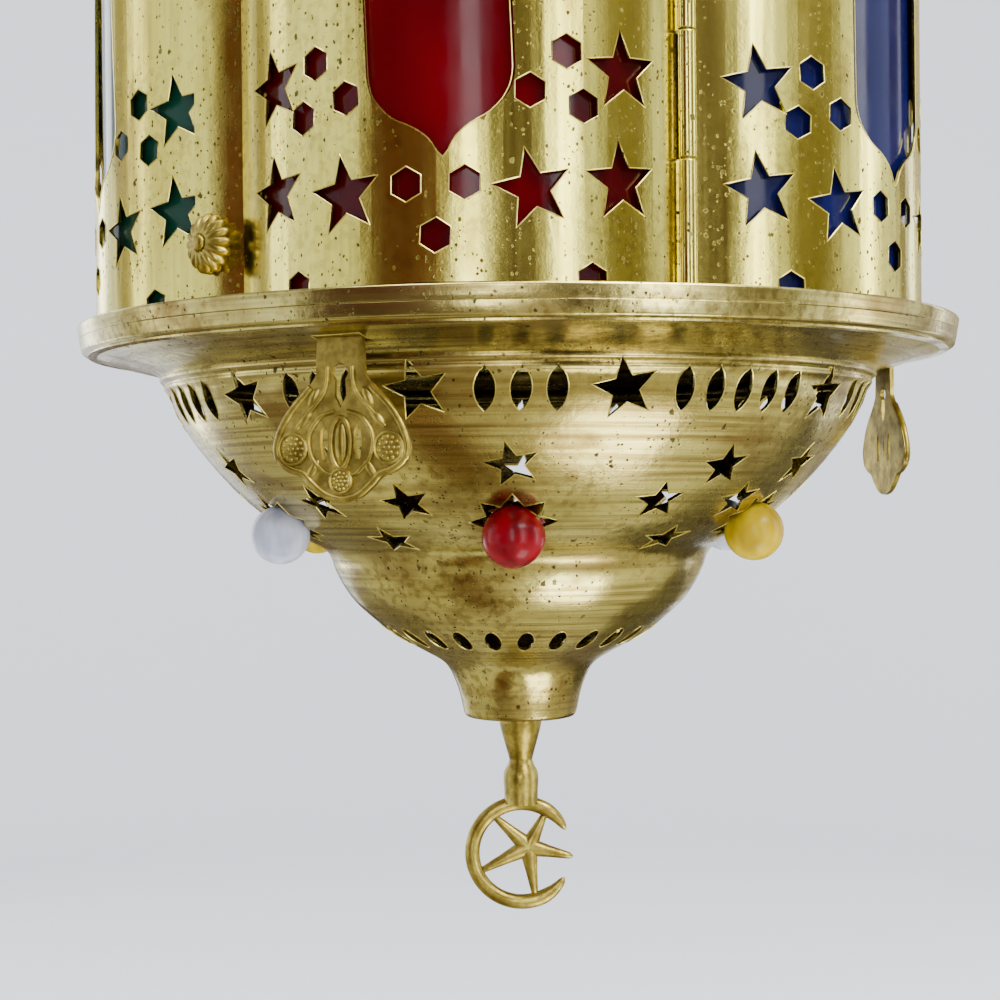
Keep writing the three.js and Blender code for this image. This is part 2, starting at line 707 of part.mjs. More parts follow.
// Stars of the top row stand at uneven steps, with as many almonds between two as there is room for.
function topRowCutters() {
  const cutters = [];
  let turn = TOP_ROW_START;
  for (const step of TOP_ROW_GAPS) {
    cutters.push(cutter(fiveStar(BOWL_STAR_HEIGHT), bowlFrame(turn, TOP_ROW_LEVEL)));
    const almonds = Math.floor((step - ALMOND_ROOM) / ALMOND_PITCH) + 1;
    for (let i = 0; i < almonds; i += 1) {
      const offset = (i - (almonds - 1) / 2) * ALMOND_PITCH;
      cutters.push(cutter(almond(), bowlFrame(turn + step / 2 + offset, TOP_ROW_LEVEL)));
    }
    turn += step;
  }
  return cutters;
}

function bowlGeometry() {
  const cutters = topRowCutters();
  const smallStar = fiveStar(SMALL_STAR_HEIGHT);
  const burst = pointed(BURST_OUTER_RADIUS, BURST_INNER_RADIUS, BURST_POINTS);
  for (const turn of beadTurns()) {
    cutters.push(cutter(burst, bowlFrame(turn, BEAD_LEVEL)));
    cutters.push(cutter(smallStar, bowlFrame(turn, STAR_OVER_BEAD_LEVEL)));
  }
  for (const turn of STAR_DIAMOND_TURNS) {
    for (const [offset, height] of STAR_DIAMOND) {
      cutters.push(cutter(smallStar, bowlFrame(turn + offset, height)));
    }
  }
  const slot = rectangle(PENDANT_TAB_WIDTH + 2 * GAP, PENDANT_SLOT_WIDTH);
  for (const turn of pendantTurns()) {
    const frame = wallFrame(radians(turn - BOWL_TURN), pendantRowRadius, flangeBelowPendant, 0, 1);
    cutters.push(cutter(slot, frame, 3));
  }
  const shell = spunRing(shellProfile(bowlProfile, FINIAL_SHANK_RADIUS + GAP, false), SPUN_SEGMENTS);
  return pierced(shell, cutters);
}

function capGeometry() {
  const cutters = [];
  const vent = roundOutline(CAP_VENT_RADIUS, 6);
  for (let i = 0; i < CAP_VENT_COUNT; i += 1) {
    const turn = ((i + 0.5) * 360) / CAP_VENT_COUNT;
    cutters.push(cutter(vent, shellFrame(capProfile, turn, CAP_VENT_LEVEL)));
  }
  const shell = spunRing(shellProfile(capProfile, TUBE_RADIUS + GAP, true), SPUN_SEGMENTS);
  return pierced(shell, cutters);
}

// A flat ring with a rolled rim: the rim hangs below the lower plate and stands above the upper one.
function plateGeometry(isUpper) {
  const rimInside = plateRimRadius - RIM_WIDTH;
  const section = [
    [plateHoleRadius, 0], [rimInside, 0], [rimInside, PLATE_SHEET - RIM_HEIGHT],
    [plateRimRadius, PLATE_SHEET - RIM_HEIGHT], [plateRimRadius, PLATE_SHEET], [plateHoleRadius, PLATE_SHEET],
  ];
  if (isUpper) {
    const mirrored = section.map(([radius, height]) => [radius, -height]).reverse();
    return spunRing(mirrored, SPUN_SEGMENTS);
  }
  return spunRing(section, SPUN_SEGMENTS);
}

// Beads

function beadTurns() {
  return [0, 1, 2, 3, 4, 5].map((i) => i * 60);
}

// A glass ball with a small flat on its back, where it sits on its strap; z runs out of the bowl.
function beadGeometry() {
  const profile = [[0, -BEAD_BACK], [Math.sqrt(BEAD_RADIUS ** 2 - BEAD_BACK ** 2), -BEAD_BACK]];
  const start = Math.asin(-BEAD_BACK / BEAD_RADIUS);
  const steps = 4;
  for (let i = 1; i <= steps; i += 1) {
    const angle = start + ((Math.PI / 2 - start) * i) / steps;
    profile.push([i === steps ? 0 : BEAD_RADIUS * Math.cos(angle), BEAD_RADIUS * Math.sin(angle)]);
  }
  return spun(profile, 8);
}

function strapGeometry() {
  const strap = new THREE.BoxGeometry(STRAP_LENGTH, STRAP_WIDTH, STRAP_THICKNESS);
  strap.translate(0, 0, -BEAD_BACK - GAP - STRAP_THICKNESS / 2);
  return strap.rotateZ(radians(STRAP_TURN));
}

// Pendants: drawn in the XZ plane with the pivot at the origin, x along the rim

function pendantTurns() {
  return [0, 1, 2].map((i) => PENDANT_TURN + i * 120);
}

function pendantKeyhole() {
  const outline = [];
  const [first, last] = KEYHOLE_ARC;
  const steps = 4;
  for (let i = 0; i <= steps; i += 1) {
    const angle = radians(first + ((last - first) * i) / steps);
    outline.push([KEYHOLE_RADIUS * Math.cos(angle), KEYHOLE_LEVEL - KEYHOLE_RADIUS * Math.sin(angle)]);
  }
  return polygon([...outline, ...KEYHOLE_TAIL].map(([x, below]) => [x, -pendantDrop - below]));
}

function pendantGeometry() {
  const tab = PENDANT_TAB_WIDTH / 2;
  const boreRadius = PENDANT_PIN_RADIUS + GAP;
  const tabTop = -(boreRadius + PENDANT_EYE_RADIUS) / 2;
  const right = [[tab, tabTop], ...PENDANT_HALF_OUTLINE.map(([x, below]) => [x, -pendantDrop - below])];
  const left = right.map(([x, y]) => [-x, y]).reverse();
  const outline = polygon([...right, [0, -pendantDrop - PENDANT_LENGTH], ...left]);
  outline.holes.push(pendantKeyhole());
  for (const side of [-1, 1]) {
    const slit = SLIT_OUTLINE.map(([x, below]) => [side * SLIT_PLACE + x, -pendantDrop - below]);
    outline.holes.push(polygon(slit));
  }
  const front = PENDANT_THICKNESS / 2;
  const plate = upright(outline, -front, front).rotateX(Math.PI / 2);
  const eye = tube(PENDANT_EYE_RADIUS, boreRadius, -tab, tab, 8).rotateY(Math.PI / 2);
  const pieces = [plate, eye];
  for (const [x, below] of MEDALLION_PLACES) {
    const radius = MEDALLION_RADIUS * (x === 0 ? MIDDLE_MEDALLION_SHARE : 1);
    const medallion = cylinder(radius, 0, front + MEDALLION_RISE, 6);
    pieces.push(medallion.rotateX(Math.PI / 2).translate(x, 0, -pendantDrop - below));
  }
  return joined(...pieces);
}

// Finial: a turned stem, a crescent and a five-armed star cast in one

function crescentGeometry() {
  const [first, last] = CRESCENT_TIPS;
  const rings = [];
  for (let i = 0; i <= CRESCENT_STEPS; i += 1) {
    const degrees = first + ((last - first) * i) / CRESCENT_STEPS;
    const fromTip = Math.min(degrees - first, last - degrees);
    const share = Math.min(1, 0.3 + 0.7 * Math.sqrt(fromTip / CRESCENT_TAPER));
    const [band, depth] = [(CRESCENT_BAND / 2) * share, (CRESCENT_DEPTH / 2) * share];
    const angle = radians(degrees);
    const place = (radius, y) => new THREE.Vector3(radius * Math.cos(angle), y, radius * Math.sin(angle));
    rings.push([
      place(CRESCENT_RADIUS + band, 0), place(CRESCENT_RADIUS, depth),
      place(CRESCENT_RADIUS - band, 0), place(CRESCENT_RADIUS, -depth),
    ]);
  }
  return loft(rings);
}

// Arms reach the middle of the crescent's band, apart from the free one in its opening.
function finialStarGeometry() {
  const [cx, cz] = FINIAL_STAR_CENTRE;
  const arms = FINIAL_STAR_ARMS.map(radians);
  const points = [new THREE.Vector3(cx, -FINIAL_STAR_DEPTH / 2, cz), new THREE.Vector3(cx, FINIAL_STAR_DEPTH / 2, cz)];
  const reach = CRESCENT_RADIUS - 1;
  arms.forEach((angle, i) => {
    const next = arms[(i + 1) % arms.length] + (i === arms.length - 1 ? 2 * Math.PI : 0);
    const towards = cx * Math.cos(angle) + cz * Math.sin(angle);
    const joinedArm = Math.sqrt(reach ** 2 - cx ** 2 - cz ** 2 + towards ** 2) - towards;
    const length = i === 0 ? FINIAL_STAR_FREE_ARM : joinedArm;
    const valley = (angle + next) / 2;
    points.push(new THREE.Vector3(cx + length * Math.cos(angle), 0, cz + length * Math.sin(angle)));
    points.push(new THREE.Vector3(
      cx + FINIAL_STAR_VALLEY * Math.cos(valley), 0, cz + FINIAL_STAR_VALLEY * Math.sin(valley),
    ));
  });
  const index = [];
  const count = 2 * arms.length;
  for (let i = 0; i < count; i += 1) {
    const [a, b] = [2 + i, 2 + ((i + 1) % count)];
    index.push(0, a, b, 1, b, a);
  }
  return meshFrom(points, index);
}

function finialGeometry() {
  const stem = FINIAL_STEM.map(([radius, below]) => [radius, -GAP - below]).reverse();
  const stemEnd = stem[0][1];
  const shank = [[FINIAL_SHANK_RADIUS, -GAP], [FINIAL_SHANK_RADIUS, FINIAL_SHANK_LENGTH], [0, FINIAL_SHANK_LENGTH]];
  const turned = spun([[0, stemEnd], ...stem, ...shank]);
  const centre = stemEnd - CRESCENT_RADIUS;
  return joined(
    turned,
    crescentGeometry().translate(0, 0, centre),
    finialStarGeometry().translate(0, 0, centre),
  );
}

function nutGeometry(width, bore, bottom, top) {
  const outline = roundOutline(width / Math.sqrt(3), 6);
  outline.holes.push(roundOutline(bore, 10));
  return upright(outline, bottom, top);
}

// Lamp and hanging gear

function holderGeometry() {
  const mouth = BULB_PROFILE[0][0] + GAP;
  const bore = TUBE_RADIUS + GAP;
  const mouthTop = holderBottom + HOLDER_MOUTH_DEPTH;
  const collarBottom = holderTop - HOLDER_COLLAR_LENGTH;
  return spun([
    [0, mouthTop], [mouth, mouthTop], [mouth, holderBottom], [HOLDER_RADIUS, holderBottom],
    [HOLDER_RADIUS, collarBottom - HOLDER_SHOULDER], [HOLDER_COLLAR_RADIUS, collarBottom],
    [HOLDER_COLLAR_RADIUS, holderTop], [bore, holderTop], [bore, collarBottom], [0, collarBottom],
  ], 12);
}

function bulbGeometry() {
  const profile = BULB_PROFILE.map(([radius, below]) => [radius, bulbTop - below]).reverse();
  return spun([...profile, [0, bulbTop]], 12);
}

function loopGeometry() {
  const bottom = capTop + GAP;
  const bore = TUBE_RADIUS + GAP;
  const collar = spun([
    [0, bottom + LOOP_BORE_DEPTH], [bore, bottom + LOOP_BORE_DEPTH], [bore, bottom],
    [LOOP_COLLAR_RADIUS, bottom], [LOOP_COLLAR_RADIUS, collarTop], [0, collarTop],
  ], 12);
  const eye = new THREE.TorusGeometry(LOOP_EYE_RADIUS, WIRE_RADIUS, 6, 14);
  eye.rotateY(Math.PI / 2).translate(0, 0, eyeHeight);
  const cordHole = cylinder(CORD_HOLE_RADIUS, 0, LOOP_COLLAR_RADIUS + 1, 8);
  cordHole.rotateX(-Math.PI / 2).translate(0, 0, bottom + CORD_HOLE_LEVEL);
  return pierced(joined(collar, eye), [cordHole]);
}

// Assembly

function addPart(group, name, geometry, look) {
  const mesh = new THREE.Mesh(closedMesh(geometry), new THREE.MeshStandardMaterial(look));
  mesh.name = name;
  group.add(mesh);
  return mesh;
}

function turnedGroup(parent, degrees) {
  const group = new THREE.Group();
  group.rotation.z = radians(degrees);
  parent.add(group);
  return group;
}

function addBody(lantern) {
  const sides = ['right_front', 'right_back', 'back', 'left_back', 'left_front'];
  const glasses = [BLUE_GLASS, GREEN_GLASS, RED_GLASS, BLUE_GLASS, GREEN_GLASS];
  sides.forEach((side, i) => {
    const group = turnedGroup(lantern, (i + 1) * 60);
    const isLatchSide = side === 'left_front';
    const leftInset = i === 0 ? hingeEdgeInset : seamInset;
    const panel = isLatchSide ? latchPanelGeometry() : panelGeometry(leftInset, seamInset);
    addPart(group, `${side}_panel`, panel, SHEET_BRASS);
    addPart(group, `${side}_pane`, paneGeometry(PANE_INSET, panelBottom, panelTop), glasses[i]);
  });
  const posts = ['hinge_post', 'right_post', 'right_back_post', 'left_back_post', 'left_post', 'latch_post'];
  posts.forEach((name, i) => {
    const group = turnedGroup(lantern, 30 + i * 60);
    const isHinge = name === 'hinge_post';
    const post = isHinge ? hingePostGeometry() : postGeometry(true, name !== 'latch_post');
    addPart(group, name, post, SHEET_BRASS);
  });
  addPart(lantern, 'base_plate', plateGeometry(false), SPUN_BRASS).position.z = plateTop - PLATE_SHEET;
  addPart(lantern, 'top_plate', plateGeometry(true), SPUN_BRASS).position.z = panelTop + GAP + PLATE_SHEET;
}

function addDoor(lantern) {
  addPart(lantern, 'door_panel', doorGeometry(), SHEET_BRASS);
  const paneInset = STILE_INSET + CAME_SHEET + GAP;
  addPart(lantern, 'door_pane', paneGeometry(paneInset, doorBottom, doorTop), RED_GLASS);
  addPart(lantern, 'door_left_stile', stileGeometry(-1), SHEET_BRASS);
  addPart(lantern, 'door_right_stile', stileGeometry(1), SHEET_BRASS);
  const knob = knobGeometry().applyMatrix4(knobFrame(lapFront - GAP));
  addPart(turnedGroup(lantern, -60), 'door_knob', knob, CAST_BRASS);
  const pin = addPart(lantern, 'door_hinge_pin', hingePinGeometry(), CAST_BRASS);
  pin.position.set(hingeRadius * Math.sin(halfStep), -hingeRadius * Math.cos(halfStep), 0);
}

function addBowl(lantern) {
  const bowl = turnedGroup(lantern, BOWL_TURN);
  addPart(bowl, 'bowl', bowlGeometry(), SPUN_BRASS);
  const names = ['front', 'right_front', 'right_back', 'back', 'left_back', 'left_front'];
  const looks = [RED_BEAD, YELLOW_BEAD, WHITE_BEAD, RED_BEAD, YELLOW_BEAD, WHITE_BEAD];
  beadTurns().forEach((turn, i) => {
    const frame = bowlFrame(turn, BEAD_LEVEL);
    const standOut = new THREE.Matrix4().makeTranslation(0, 0, BEAD_STAND_OUT);
    frame.multiply(standOut);
    addPart(bowl, `${names[i]}_bead`, beadGeometry().applyMatrix4(frame), looks[i]);
    addPart(bowl, `${names[i]}_bead_strap`, strapGeometry().applyMatrix4(frame), SHEET_BRASS);
  });
}

function addPendants(lantern) {
  const names = ['front', 'right', 'left'];
  pendantTurns().forEach((turn, i) => {
    const group = turnedGroup(lantern, turn);
    const pin = cylinder(PENDANT_PIN_RADIUS, -PENDANT_PIN_LENGTH / 2, PENDANT_PIN_LENGTH / 2, 8);
    addPart(group, `${names[i]}_pendant`, pendantGeometry(), CAST_BRASS)
      .position.set(0, -pendantRowRadius, pendantPivotHeight);
    addPart(group, `${names[i]}_pendant_pin`, pin.rotateY(Math.PI / 2), CAST_BRASS)
      .position.set(0, -pendantRowRadius, pendantPivotHeight);
  });
}

function addFinial(lantern) {
  const group = turnedGroup(lantern, FINIAL_TURN);
  group.position.z = neckBottom;
  addPart(group, 'finial', finialGeometry(), CAST_BRASS);
  const nutBottom = SPUN_SHEET + GAP;
  const nut = nutGeometry(FINIAL_NUT_WIDTH, FINIAL_SHANK_RADIUS + GAP, nutBottom, nutBottom + FINIAL_NUT_HEIGHT);
  addPart(group, 'finial_nut', nut, CAST_BRASS);
}

function addCapAndLamp(lantern) {
  addPart(lantern, 'cap', capGeometry(), SPUN_BRASS).position.z = capRimTop;
  const threadedTube = tube(TUBE_RADIUS, TUBE_BORE_RADIUS, capTop - TUBE_BELOW_CAP + GAP, capTop + TUBE_ABOVE_CAP);
  addPart(lantern, 'threaded_tube', threadedTube, CAST_BRASS);
  const nutTop = capTop - SPUN_SHEET - GAP;
  const nut = nutGeometry(LOCKNUT_WIDTH, TUBE_RADIUS + GAP, nutTop - LOCKNUT_HEIGHT, nutTop);
  addPart(lantern, 'tube_locknut', nut, CAST_BRASS);
  addPart(lantern, 'lamp_holder', holderGeometry(), DARK_PLASTIC);
  addPart(lantern, 'bulb', bulbGeometry(), FROSTED_GLASS);
  addPart(lantern, 'hanging_loop', loopGeometry(), CAST_BRASS);
  const ring = new THREE.TorusGeometry(RING_RADIUS, WIRE_RADIUS, 6, 20).rotateX(Math.PI / 2);
  addPart(lantern, 'hanging_ring', ring, CAST_BRASS).position.z = ringHeight;
}

const object = new THREE.Group();
const lantern = new THREE.Group();
lantern.position.z = -hookHeight;
object.add(lantern);
addBody(lantern);
addDoor(lantern);
addBowl(lantern);
addPendants(lantern);
addFinial(lantern);
addCapAndLamp(lantern);

export default object;
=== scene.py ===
import json
import math

import bmesh
import bpy
import numpy as np
from mathutils import Matrix, Vector

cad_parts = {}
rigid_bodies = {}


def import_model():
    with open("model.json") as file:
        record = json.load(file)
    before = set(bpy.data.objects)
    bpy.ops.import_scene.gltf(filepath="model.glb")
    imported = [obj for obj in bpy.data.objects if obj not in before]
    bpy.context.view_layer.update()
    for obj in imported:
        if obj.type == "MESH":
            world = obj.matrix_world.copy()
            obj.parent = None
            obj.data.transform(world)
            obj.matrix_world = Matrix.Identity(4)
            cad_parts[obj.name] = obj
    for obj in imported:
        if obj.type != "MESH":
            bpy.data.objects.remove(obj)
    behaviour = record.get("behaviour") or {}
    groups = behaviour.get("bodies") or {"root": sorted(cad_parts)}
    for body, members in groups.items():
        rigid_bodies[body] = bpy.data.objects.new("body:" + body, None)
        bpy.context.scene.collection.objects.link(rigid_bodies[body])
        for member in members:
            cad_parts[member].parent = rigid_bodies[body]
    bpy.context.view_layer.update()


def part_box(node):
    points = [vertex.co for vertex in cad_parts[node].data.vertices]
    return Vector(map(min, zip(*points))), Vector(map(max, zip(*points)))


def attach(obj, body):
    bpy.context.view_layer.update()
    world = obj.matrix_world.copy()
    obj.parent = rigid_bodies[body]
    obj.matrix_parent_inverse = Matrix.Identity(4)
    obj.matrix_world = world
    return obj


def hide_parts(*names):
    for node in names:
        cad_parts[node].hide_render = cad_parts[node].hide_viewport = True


# Hanging lantern of pierced brass. Sizes are in millimetres, with heights from the lower edge of
# the bowl's rim, as in the solid model; makeMesh turns them into metres of the frame.

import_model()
scene = bpy.context.scene
bowlRimHeight = 3.5
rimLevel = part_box("bowl")[1].z * 1000 - bowlRimHeight
print("frame loaded")

cameraLook = {
    "place": (0.07433, -0.49151, -0.3686),
    "turn": (89.58, 0.54, 9.216),
    "lens": 61.2,
    "sensor": 36,
    "near": 0.01,
}


def linked(name, data):
    item = bpy.data.objects.new(name, data)
    scene.collection.objects.link(item)
    return item


cameraData = bpy.data.cameras.new("photoCamera")
cameraData.lens = cameraLook["lens"]
cameraData.sensor_width = cameraLook["sensor"]
cameraData.clip_start = cameraLook["near"]
camera = linked("photoCamera", cameraData)
camera.location = cameraLook["place"]
camera.rotation_euler = [math.radians(angle) for angle in cameraLook["turn"]]
scene.camera = camera


def addNode(tree, kind, sockets=None, **settings):
    # sockets: for each input, a value or the output (or list of outputs) that it is linked to
    node = tree.nodes.new(kind)
    for key, value in settings.items():
        setattr(node, key, value)
    for key, value in (sockets or {}).items():
        if isinstance(value, bpy.types.NodeSocket):
            value = [value]
        if isinstance(value, list) and isinstance(value[0], bpy.types.NodeSocket):
            for source in value:
                tree.links.new(source, node.inputs[key])
        else:
            node.inputs[key].default_value = value
    return node


def valueOf(tree, kind, sockets=None, **settings):
    return addNode(tree, kind, sockets, **settings).outputs[0]


def shapeOf(tree, kind, sockets=None, **settings):
    return valueOf(tree, "GeometryNode" + kind, sockets, **settings)


def newGroup(name, sockets):
    # sockets: the kind of each one that the group is given, by name
    tree = bpy.data.node_groups.new(name, "GeometryNodeTree")
    for socket, kind in sockets.items():
        tree.interface.new_socket(socket, in_out="INPUT", socket_type="NodeSocket" + kind)
    tree.interface.new_socket("Shape", in_out="OUTPUT", socket_type="NodeSocketGeometry")
    return tree, addNode(tree, "NodeGroupInput").outputs


def endGroup(tree, shape, metal):
    real = shapeOf(tree, "RealizeInstances", {0: shape})
    addNode(tree, "NodeGroupOutput", {0: shapeOf(tree, "SetMaterial", {0: real, 2: metal})})
    return tree


def linear(hexColour):
    channels = [int(hexColour[i:i + 2], 16) / 255 for i in (1, 3, 5)]
    return [c / 12.92 if c <= 0.04045 else ((c + 0.055) / 1.055) ** 2.4 for c in channels] + [1]


def rounded(corners, radius=0.3, steps=3, closed=True):
    # each corner is x, y and, where it differs, how far from it the rounding starts
    chain = []
    count = len(corners)
    for i, corner in enumerate(corners):
        here = Vector(corner[:2])
        bend = corner[2] if len(corner) > 2 else radius
        if bend == 0 or (not closed and i in (0, count - 1)):
            chain.append(tuple(here))
            continue
        before = Vector(corners[i - 1][:2]) - here
        after = Vector(corners[(i + 1) % count][:2]) - here
        start = here + before.normalized() * min(bend, before.length * 0.45)
        end = here + after.normalized() * min(bend, after.length * 0.45)
        for k in range(steps + 1):
            t = k / steps
            chain.append(tuple(start.lerp(here, t).lerp(here.lerp(end, t), t)))
    return chain


def smoothed(points, steps=4):
    # a curve through the points that keeps its two ends
    p = np.array(points, float)
    ends = np.vstack([2 * p[0] - p[1], p, 2 * p[-1] - p[-2]])
    chain = []
    for a, b, c, d in zip(ends, ends[1:], ends[2:], ends[3:]):
        for k in range(steps):
            t = k / steps
            chain.append(0.5 * (2 * b + (c - a) * t + (2 * a - 5 * b + 4 * c - d) * t * t
                                + (3 * b - a - 3 * c + d) * t ** 3))
    return [tuple(point) for point in chain] + [tuple(p[-1])]


def roundOutline(radius, sides):
    turns = [math.pi / 2 + i * 2 * math.pi / sides for i in range(sides)]
    return [(radius * math.cos(turn), radius * math.sin(turn)) for turn in turns]


def offset(chain, distance):
    p = np.array(chain, float)
    along = np.gradient(p, axis=0)
    along /= np.linalg.norm(along, axis=1)[:, None]
    return [tuple(point) for point in p + distance * np.stack([-along[:, 1], along[:, 0]], 1)]


def spin(section, segments=96, closed=False, lobes=0, depth=0.0):
    # section: radius and height; a row on the axis becomes a single point
    points, rows, faces = [], [], []
    for radius, height in section:
        if radius < 1e-6:
            rows.append([len(points)])
            points.append((0, 0, height))
            continue
        rows.append(list(range(len(points), len(points) + segments)))
        for i in range(segments):
            angle = 2 * math.pi * i / segments
            swell = radius * (1 - depth * (1 - abs(math.cos(lobes * angle / 2))))
            points.append((swell * math.sin(angle), -swell * math.cos(angle), height))
    for low, high in list(zip(rows, rows[1:])) + ([(rows[-1], rows[0])] if closed else []):
        for i in range(segments):
            j = i + 1
            corners = [low[i % len(low)], low[j % len(low)], high[j % len(high)], high[i % len(high)]]
            faces.append(list(dict.fromkeys(corners)))
    return points, faces


def extruded(outline, bottom, top):
    count = len(outline)
    points = [(x, y, z) for z in (bottom, top) for x, y in outline]
    faces = [[i, (i + 1) % count, count + (i + 1) % count, count + i] for i in range(count)]
    return points, faces + [list(range(count))[::-1], list(range(count, 2 * count))]


def loft(rings):
    count = len(rings[0])
    points = [point for ring in rings for point in ring]
    faces = []
    for start in range(0, (len(rings) - 1) * count, count):
        for i in range(count):
            j = (i + 1) % count
            faces.append([start + i, start + j, start + count + j, start + count + i])
    last = len(points) - count
    return points, faces + [list(range(count))[::-1], list(range(last, last + count))]


def wallFrame(turn, radius, height, outRadial=1, outHeight=0):
    # x runs along the wall, y up it and z out of it
    angle = math.radians(turn)
    radial = Vector((math.sin(angle), -math.cos(angle), 0))
    along = Vector((math.cos(angle), math.sin(angle), 0))
    out = (radial * outRadial + Vector((0, 0, outHeight))).normalized()
    matrix = Matrix((along, out.cross(along), out)).transposed().to_4x4()
    matrix.translation = radial * radius + Vector((0, 0, height))
    return matrix


def moved(part, matrix):
    points, faces = part
    return [tuple(matrix @ Vector(point)) for point in points], faces


def aboutZ(degrees):
    return Matrix.Rotation(math.radians(degrees), 4, "Z")


def turned(part, degrees):
    return moved(part, aboutZ(degrees))


def raised(section, level):
    return [(radius, level + height, *bend) for radius, height, *bend in section]


def joined(*parts):
    points, faces = [], []
    for partPoints, partFaces in parts:
        faces += [[i + len(points) for i in face] for face in partFaces]
        points += partPoints
    return points, faces


def smoothMesh(mesh, angle):
    shape = bmesh.new()
    shape.from_mesh(mesh)
    bmesh.ops.remove_doubles(shape, verts=shape.verts, dist=2e-6)
    bmesh.ops.recalc_face_normals(shape, faces=shape.faces)
    shape.to_mesh(mesh)
    shape.free()
    mesh.shade_smooth()
    mesh.set_sharp_from_angle(angle=math.radians(angle))


def makeMesh(name, part, material, angle=35):
    place = np.array(part[0], float)
    place[:, 2] += rimLevel
    mesh = bpy.data.meshes.new(name)
    mesh.from_pydata((place / 1000).tolist(), [], part[1])
    mesh.materials.append(material)
    smoothMesh(mesh, angle)
    return linked(name, mesh)


def fit(piece, body, slot, *nodes):
    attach(piece, body)
    if nodes:
        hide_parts(*nodes)
    return piece


def applyTree(piece, tree, values, angle=35):
    modifier = piece.modifiers.new(tree.name, "NODES")
    modifier.node_group = tree
    for item in tree.interface.items_tree:
        if item.in_out == "INPUT" and item.name in values:
            modifier[item.identifier] = values[item.name]
    evaluated = piece.evaluated_get(bpy.context.evaluated_depsgraph_get())
    mesh = bpy.data.meshes.new_from_object(evaluated)
    piece.modifiers.remove(modifier)
    piece.data = mesh
    smoothMesh(mesh, angle)
    return piece


studioLook = {
    "floorDrop": 500,      # below the bowl's rim
    "radius": 2400,
    "flat": 400,
    "wallTop": 1900,
    "curve": 700,
    "floorColour": "#E2E4E8",
    "floorRough": 0.9,
    "world": "#B9BEC6",
    "worldStrength": 1.5,
    "lightsFace": -0.3,    # height in metres
    "boardThickness": 10,
}


def plainPaint(name, colour, rough):
    paint = bpy.data.materials.new(name)
    paint.use_nodes = True
    shader = paint.node_tree.nodes["Principled BSDF"]
    shader.inputs["Base Color"].default_value = linear(colour)
    shader.inputs["Roughness"].default_value = rough
    return paint


def makeStudio():
    look = studioLook
    floor, curve = -look["floorDrop"], look["curve"]
    bend = [(look["radius"] - curve * (1 - math.sin(t)), floor + curve * (1 - math.cos(t)))
            for t in np.linspace(0, math.pi / 2, 12)]
    part = spin([(0, floor), (look["flat"], floor)] + bend + [(look["radius"], look["wallTop"])])
    paint = plainPaint("mattStudioPaint", look["floorColour"], look["floorRough"])
    makeMesh("studioSweep", part, paint)
    world = bpy.data.worlds.new("studioAir")
    world.use_nodes = True
    background = world.node_tree.nodes["Background"]
    background.inputs["Color"].default_value = linear(look["world"])
    background.inputs["Strength"].default_value = look["worldStrength"]
    scene.world = world


lightSpots = [
    # name, turn, height, distance, width, tall, power: turn and height as seen from the lantern
    ("keyBox", 52, 46, 1.6, 0.9, 0.9, 50),
    ("doorwayStrip", 4, 3, 1.5, 0.2, 1.1, 5.5),
    ("windowStrip", 42, 3, 1.5, 0.24, 1.1, 6),
    ("rightStrip", 99, 3, 1.5, 0.22, 1.1, 5),
    ("leftStrip", -92, 3, 1.5, 0.5, 1.1, 3.5),
    ("backStrip", 145, 3, 1.5, 0.3, 1.1, 5),
    ("farStrip", 232, 3, 1.5, 0.3, 1.1, 5),
    ("topBox", 0, 88, 1.5, 1.4, 1.4, 40),
    ("lowBox", 51, -58, 0.48, 0.2, 0.2, 0.9),
]

# dark boards that only reflections see, as a photographer of metal sets them between the lights
darkBoards = [
    # turn, bottom, top, distance, width and colour
    (-23, -800, 1400, 1300, 840, "#3C0E04"),
    (23, -480, 1100, 1320, 480, "#2C1606"),
    (69, -480, 1200, 1300, 520, "#5E553A"),
    (128, -600, 1200, 1300, 240, "#5A4A2C"),
    (155, -600, 1200, 1320, 620, "#8C8468"),
    (197, -800, 1300, 1300, 560, "#32200C"),
    (262, -500, 1200, 1300, 300, "#6E6448"),
    (-12, -860, -300, 1150, 1440, "#2A1404"),
]
darkMat = {
    "radius": 1300, "colour": "#8E8A74", "aboveFloor": 2, "thickness": 4,
    # strips that spread from the middle: turn, near and far end, half width at each, and colour
    "strips": [(-30, 90, 640, 55, 176, "#4A3218"), (150, 330, 1250, 170, 560, "#38321E"),
               (212, 330, 1250, 150, 420, "#5E563A")],
    "stripGap": 1, "stripThickness": 2,
}


def lightTowards(turn, height):
    a, e = math.radians(turn), math.radians(height)
    return Vector((math.sin(a) * math.cos(e), -math.cos(a) * math.cos(e), math.sin(e)))


def makeLights():
    middle = Vector((0, 0, studioLook["lightsFace"]))
    for name, turn, height, distance, width, tall, power in lightSpots:
        data = bpy.data.lights.new(name, "AREA")
        data.shape = "RECTANGLE"
        data.size, data.size_y = width, tall
        data.energy = power
        light = linked(name, data)
        towards = lightTowards(turn, height)
        light.location = middle + towards * distance
        light.rotation_euler = (-towards).to_track_quat("-Z", "Y").to_euler()
        light.visible_camera = False


def makeBoard(name, outline, bottom, top, degrees, colour):
    board = makeMesh(name, turned(extruded(outline, bottom, top), degrees), plainPaint(name, colour, 1.0))
    board.visible_camera = False
    board.visible_diffuse = False
    board.visible_shadow = False
    board.visible_transmission = False


